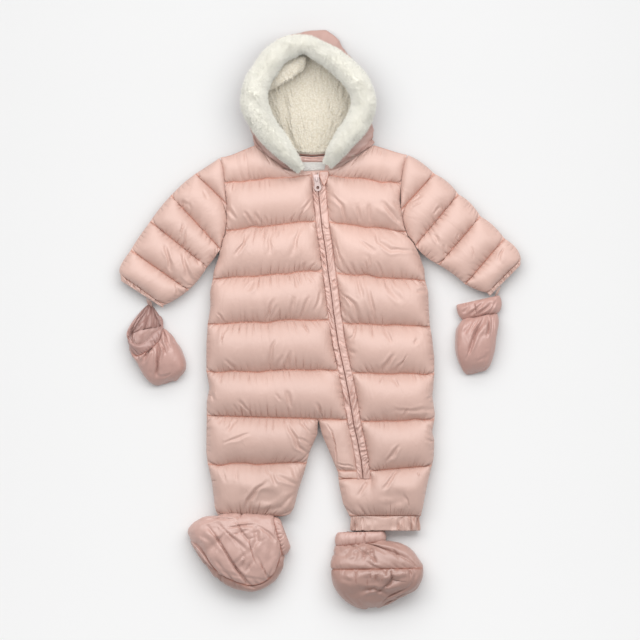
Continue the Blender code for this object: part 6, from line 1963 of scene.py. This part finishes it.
def plate(name, outline, low, high, material, node_name, dome, seed):
    """Thin piece of cloth of the given outline, softly domed, with a rolled edge."""
    outline = np.array(outline, float)
    fine = []
    for a, b in zip(outline, np.roll(outline, -1, axis=0)):
        count = max(int(np.hypot(*(b - a)) / 0.8), 2)
        fine += [a + (b - a) * i / count for i in range(count)]
    fine = np.array(fine)
    for _ in range(3):
        fine = 0.25 * np.roll(fine, 1, axis=0) + 0.5 * fine + 0.25 * np.roll(fine, -1, axis=0)
    centre = fine.mean(axis=0)
    rings = 12
    count = len(fine)
    top = np.zeros((3, rings, count + 1))
    loop = np.concatenate([fine, fine[:1]])
    for r, share in enumerate(1 - np.arange(rings) / rings):
        ripple = 0.22 * noise((1, count + 1), (1, 6), seed + r)[0] * np.sin(math.pi * share)
        edge = math.sqrt(max(1 - share ** 6, 0.0))
        top[:2, r] = (centre + (loop - centre) * share).T
        top[2, r] = high - 0.5 + 0.5 * edge + dome * (1 - share ** 2) + ripple
        top[2, r, -1] = top[2, r, 0]
    marks = np.zeros((rings, count + 1, 2))
    # The two outer rings take the seam mark, so a nylon piece gets painted shade along its rolled edge.
    marks[:2, :, 0] = 1.0
    shell = Piece()
    inner = shell.add_grid(top, marks=marks) + (rings - 1) * (count + 1)
    shell.faces.append(tuple(inner + i for i in reversed(range(count))))
    return shell.make(name, MATERIALS[material], node_name, merge=SEAM_MERGE, close_at=low)


def neck():
    """Facing tape and bare label inside the back neck, and the leaf of cloth behind the slider."""
    item = plate("neck_facing_tape", NECK_FACING, LOW, 18.55, "bootie", "neck_facing", 0.4, 1400)
    item = plate("label_bare", LABEL, LOW, 17.95, "label", "label", 0.35, 1430)
    item = plate("chin_guard_cloth", CHIN_GUARD, GUARD_LOW, GUARD_LOW + 1.2, "placket", "chin_guard",
                 0.5, 1460)


# ---------------------------------------------------------------- stitching and metal

STITCH, STITCH_STEP, STITCH_WIDE, STITCH_TALL = 2.5, 3.5, 0.28, 0.32


def stitches(name, runs):
    """Joined dashes of thread along the given runs of points on the cloth."""
    points = []
    for run in runs:
        steps = np.sqrt(((run[:, 1:] - run[:, :-1]) ** 2).sum(0))
        at = np.concatenate([[0.0], np.cumsum(steps)])
        starts = np.arange(2.0, at[-1] - STITCH - 1.5, STITCH_STEP)
        ends = np.stack([starts, starts + STITCH / 2, starts + STITCH])
        x, y, z = (np.interp(ends, at, axis) for axis in run)
        way = np.stack([x[2] - x[0], y[2] - y[0]])
        way /= np.sqrt((way ** 2).sum(0)) + TINY
        left, ahead = np.stack([-way[1], way[0]]) * STITCH_WIDE
        rise = z[1] + 0.12
        dash = np.stack([
            np.stack([x[0], y[0], z[0] - 0.12]), np.stack([x[1] + left, y[1] + ahead, rise - 0.05]),
            np.stack([x[1], y[1], rise + STITCH_TALL]), np.stack([x[1] - left, y[1] - ahead, rise - 0.05]),
            np.stack([x[2], y[2], z[2] - 0.12])])
        points.append(dash.transpose(2, 0, 1).reshape(-1, 3))
    points = np.concatenate(points)
    start = 5 * np.arange(len(points) // 5)[:, None]
    sides = ((0, 2, 1), (0, 3, 2), (4, 1, 2), (4, 2, 3), (0, 1, 3), (4, 3, 1))
    faces = np.concatenate([start + np.array(side) for side in sides])
    quick_mesh(name, points, faces, MATERIALS["thread"])


def main():
    """Studio, every piece, and the stitching."""
    floor_and_light()
    panels = [*front_right(), front_left()]
    back()
    panels.append(sleeve("sleeve_right", SLEEVE_RIGHT, SIDE_RIGHT, ARMHOLE_FOOT_RIGHT, 1.0, 600,
                         SLEEVE_RIGHT_CREASES))
    panels.append(sleeve("sleeve_left", SLEEVE_LEFT, SIDE_LEFT, ARMHOLE_FOOT_LEFT, -1.0, 650,
                         SLEEVE_LEFT_CREASES))
    sleeve_cuff("sleeve_cuff_right", SLEEVE_RIGHT[-1], SLEEVE_CUFF_RIGHT, 1500)
    sleeve_cuff("sleeve_cuff_left", SLEEVE_LEFT[-1], SLEEVE_CUFF_LEFT, 1520)
    hood()
    neck()
    placket("placket_right", -PLACKET_RIGHT - PLACKET_GAP, -0.75, 1600)
    placket("placket_left", 0.75, PLACKET_LEFT + PLACKET_GAP, 1620)
    zip_chain()
    mittens()
    booties()
    mitten_tab("mitten_tab_right", MITTEN_TAB_RIGHT)
    mitten_tab("mitten_tab_left", MITTEN_TAB_LEFT)
    leg_cuff()
    for name in ("zip_slider", "zip_pull"):
        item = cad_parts[name]
        item.data.materials.clear()
        item.data.materials.append(MATERIALS["metal"])
    runs = [grid[:, 2 * row].astype(float) for grid, sewn in panels for row in sewn[1:-1]]
    stitches("seam_stitches", runs)


CAMERA_HEIGHT = 8.0
SENSOR = 36.0  # width of its sensor in millimetres
VIEW = 0.96  # metres across the photo
MIDDLE = (-0.0002, -0.00195)
FLOOR_HALF = 6.0
FLOOR_SPAN, FLOOR_STOPS = 0.48, 9
FLOOR_TONE, FLOOR_RISE, FLOOR_POWER = 0.592, 0.309, 1.7  # its paper, darkest at the far end


def floor_tone(y):
    """Tone of the paper at this y: it evens out the light, which falls off towards the viewer."""
    return FLOOR_TONE + FLOOR_RISE * (FLOOR_SPAN - y) ** FLOOR_POWER


def area_light(name, place, aim, size, power):
    """A white rectangular light that faces its aim."""
    lamp = bpy.data.lights.new(name, "AREA")
    lamp.shape = "RECTANGLE"
    lamp.size, lamp.size_y = size
    lamp.energy = power
    item = bpy.data.objects.new(name, lamp)
    item.location = place
    item.rotation_euler = (Vector(aim) - Vector(place)).to_track_quat("-Z", "Y").to_euler()
    bpy.context.scene.collection.objects.link(item)


def floor_and_light():
    """Studio: the camera straight above, soft light from the head's end, and a pale paper floor."""
    scene = bpy.context.scene
    scene.view_settings.view_transform = "Standard"
    camera = bpy.data.cameras.new("camera")
    camera.sensor_width = SENSOR
    camera.lens = SENSOR * CAMERA_HEIGHT / VIEW
    camera.clip_end = 50.0
    item = bpy.data.objects.new("camera", camera)
    item.location = (*MIDDLE, CAMERA_HEIGHT)
    scene.collection.objects.link(item)
    scene.camera = item

    world = bpy.data.worlds.new("studio")
    world.use_nodes = True
    background = world.node_tree.nodes["Background"]
    background.inputs["Color"].default_value = (1.0, 1.0, 1.0, 1.0)
    background.inputs["Strength"].default_value = 0.55
    scene.world = world
    area_light("overhead", (0.0, 0.5, 1.15), (0.0, 0.1, 0.0), (2.6, 0.7), 18.7)
    area_light("top", (0.0, 1.7, 1.3), (0.0, 0.0, 0.0), (2.6, 0.6), 14.4)

    mesh = bpy.data.meshes.new("floor")
    corners = [(-FLOOR_HALF, -FLOOR_HALF, 0), (FLOOR_HALF, -FLOOR_HALF, 0),
               (FLOOR_HALF, FLOOR_HALF, 0), (-FLOOR_HALF, FLOOR_HALF, 0)]
    mesh.from_pydata(corners, [], [(0, 1, 2, 3)])
    floor = bpy.data.objects.new("floor", mesh)
    material, tree, shader, at = new_material("paper_floor")
    parts = mapped(tree, at, "ShaderNodeSeparateXYZ")
    place = node(tree, "ShaderNodeMapRange")
    place.inputs["From Min"].default_value = -FLOOR_SPAN
    place.inputs["From Max"].default_value = FLOOR_SPAN
    tree.links.new(parts.outputs["Y"], place.inputs["Value"])
    shares = [i / (FLOOR_STOPS - 1) for i in range(FLOOR_STOPS)]
    stops = [(share, (floor_tone((2 * share - 1) * FLOOR_SPAN),) * 3) for share in shares]
    colour = colour_ramp(tree, place.outputs["Result"], stops)
    grain = mapped(tree, at, "ShaderNodeTexNoise", Scale=900.0, Detail=2.0).outputs["Fac"]
    finish_shader(tree, shader, colour, bump(tree, grain, 0.05, 0.0002), {
        "Roughness": 0.9, "Specular IOR Level": 0.1})
    mesh.materials.append(material)
    scene.collection.objects.link(floor)


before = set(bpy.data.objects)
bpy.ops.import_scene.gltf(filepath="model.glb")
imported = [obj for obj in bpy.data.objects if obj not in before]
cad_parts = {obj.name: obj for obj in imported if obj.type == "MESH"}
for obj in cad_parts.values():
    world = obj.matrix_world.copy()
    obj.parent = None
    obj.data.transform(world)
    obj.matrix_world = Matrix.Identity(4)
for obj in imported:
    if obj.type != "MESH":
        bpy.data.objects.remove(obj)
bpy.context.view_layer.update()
MATERIALS = make_materials()
main()
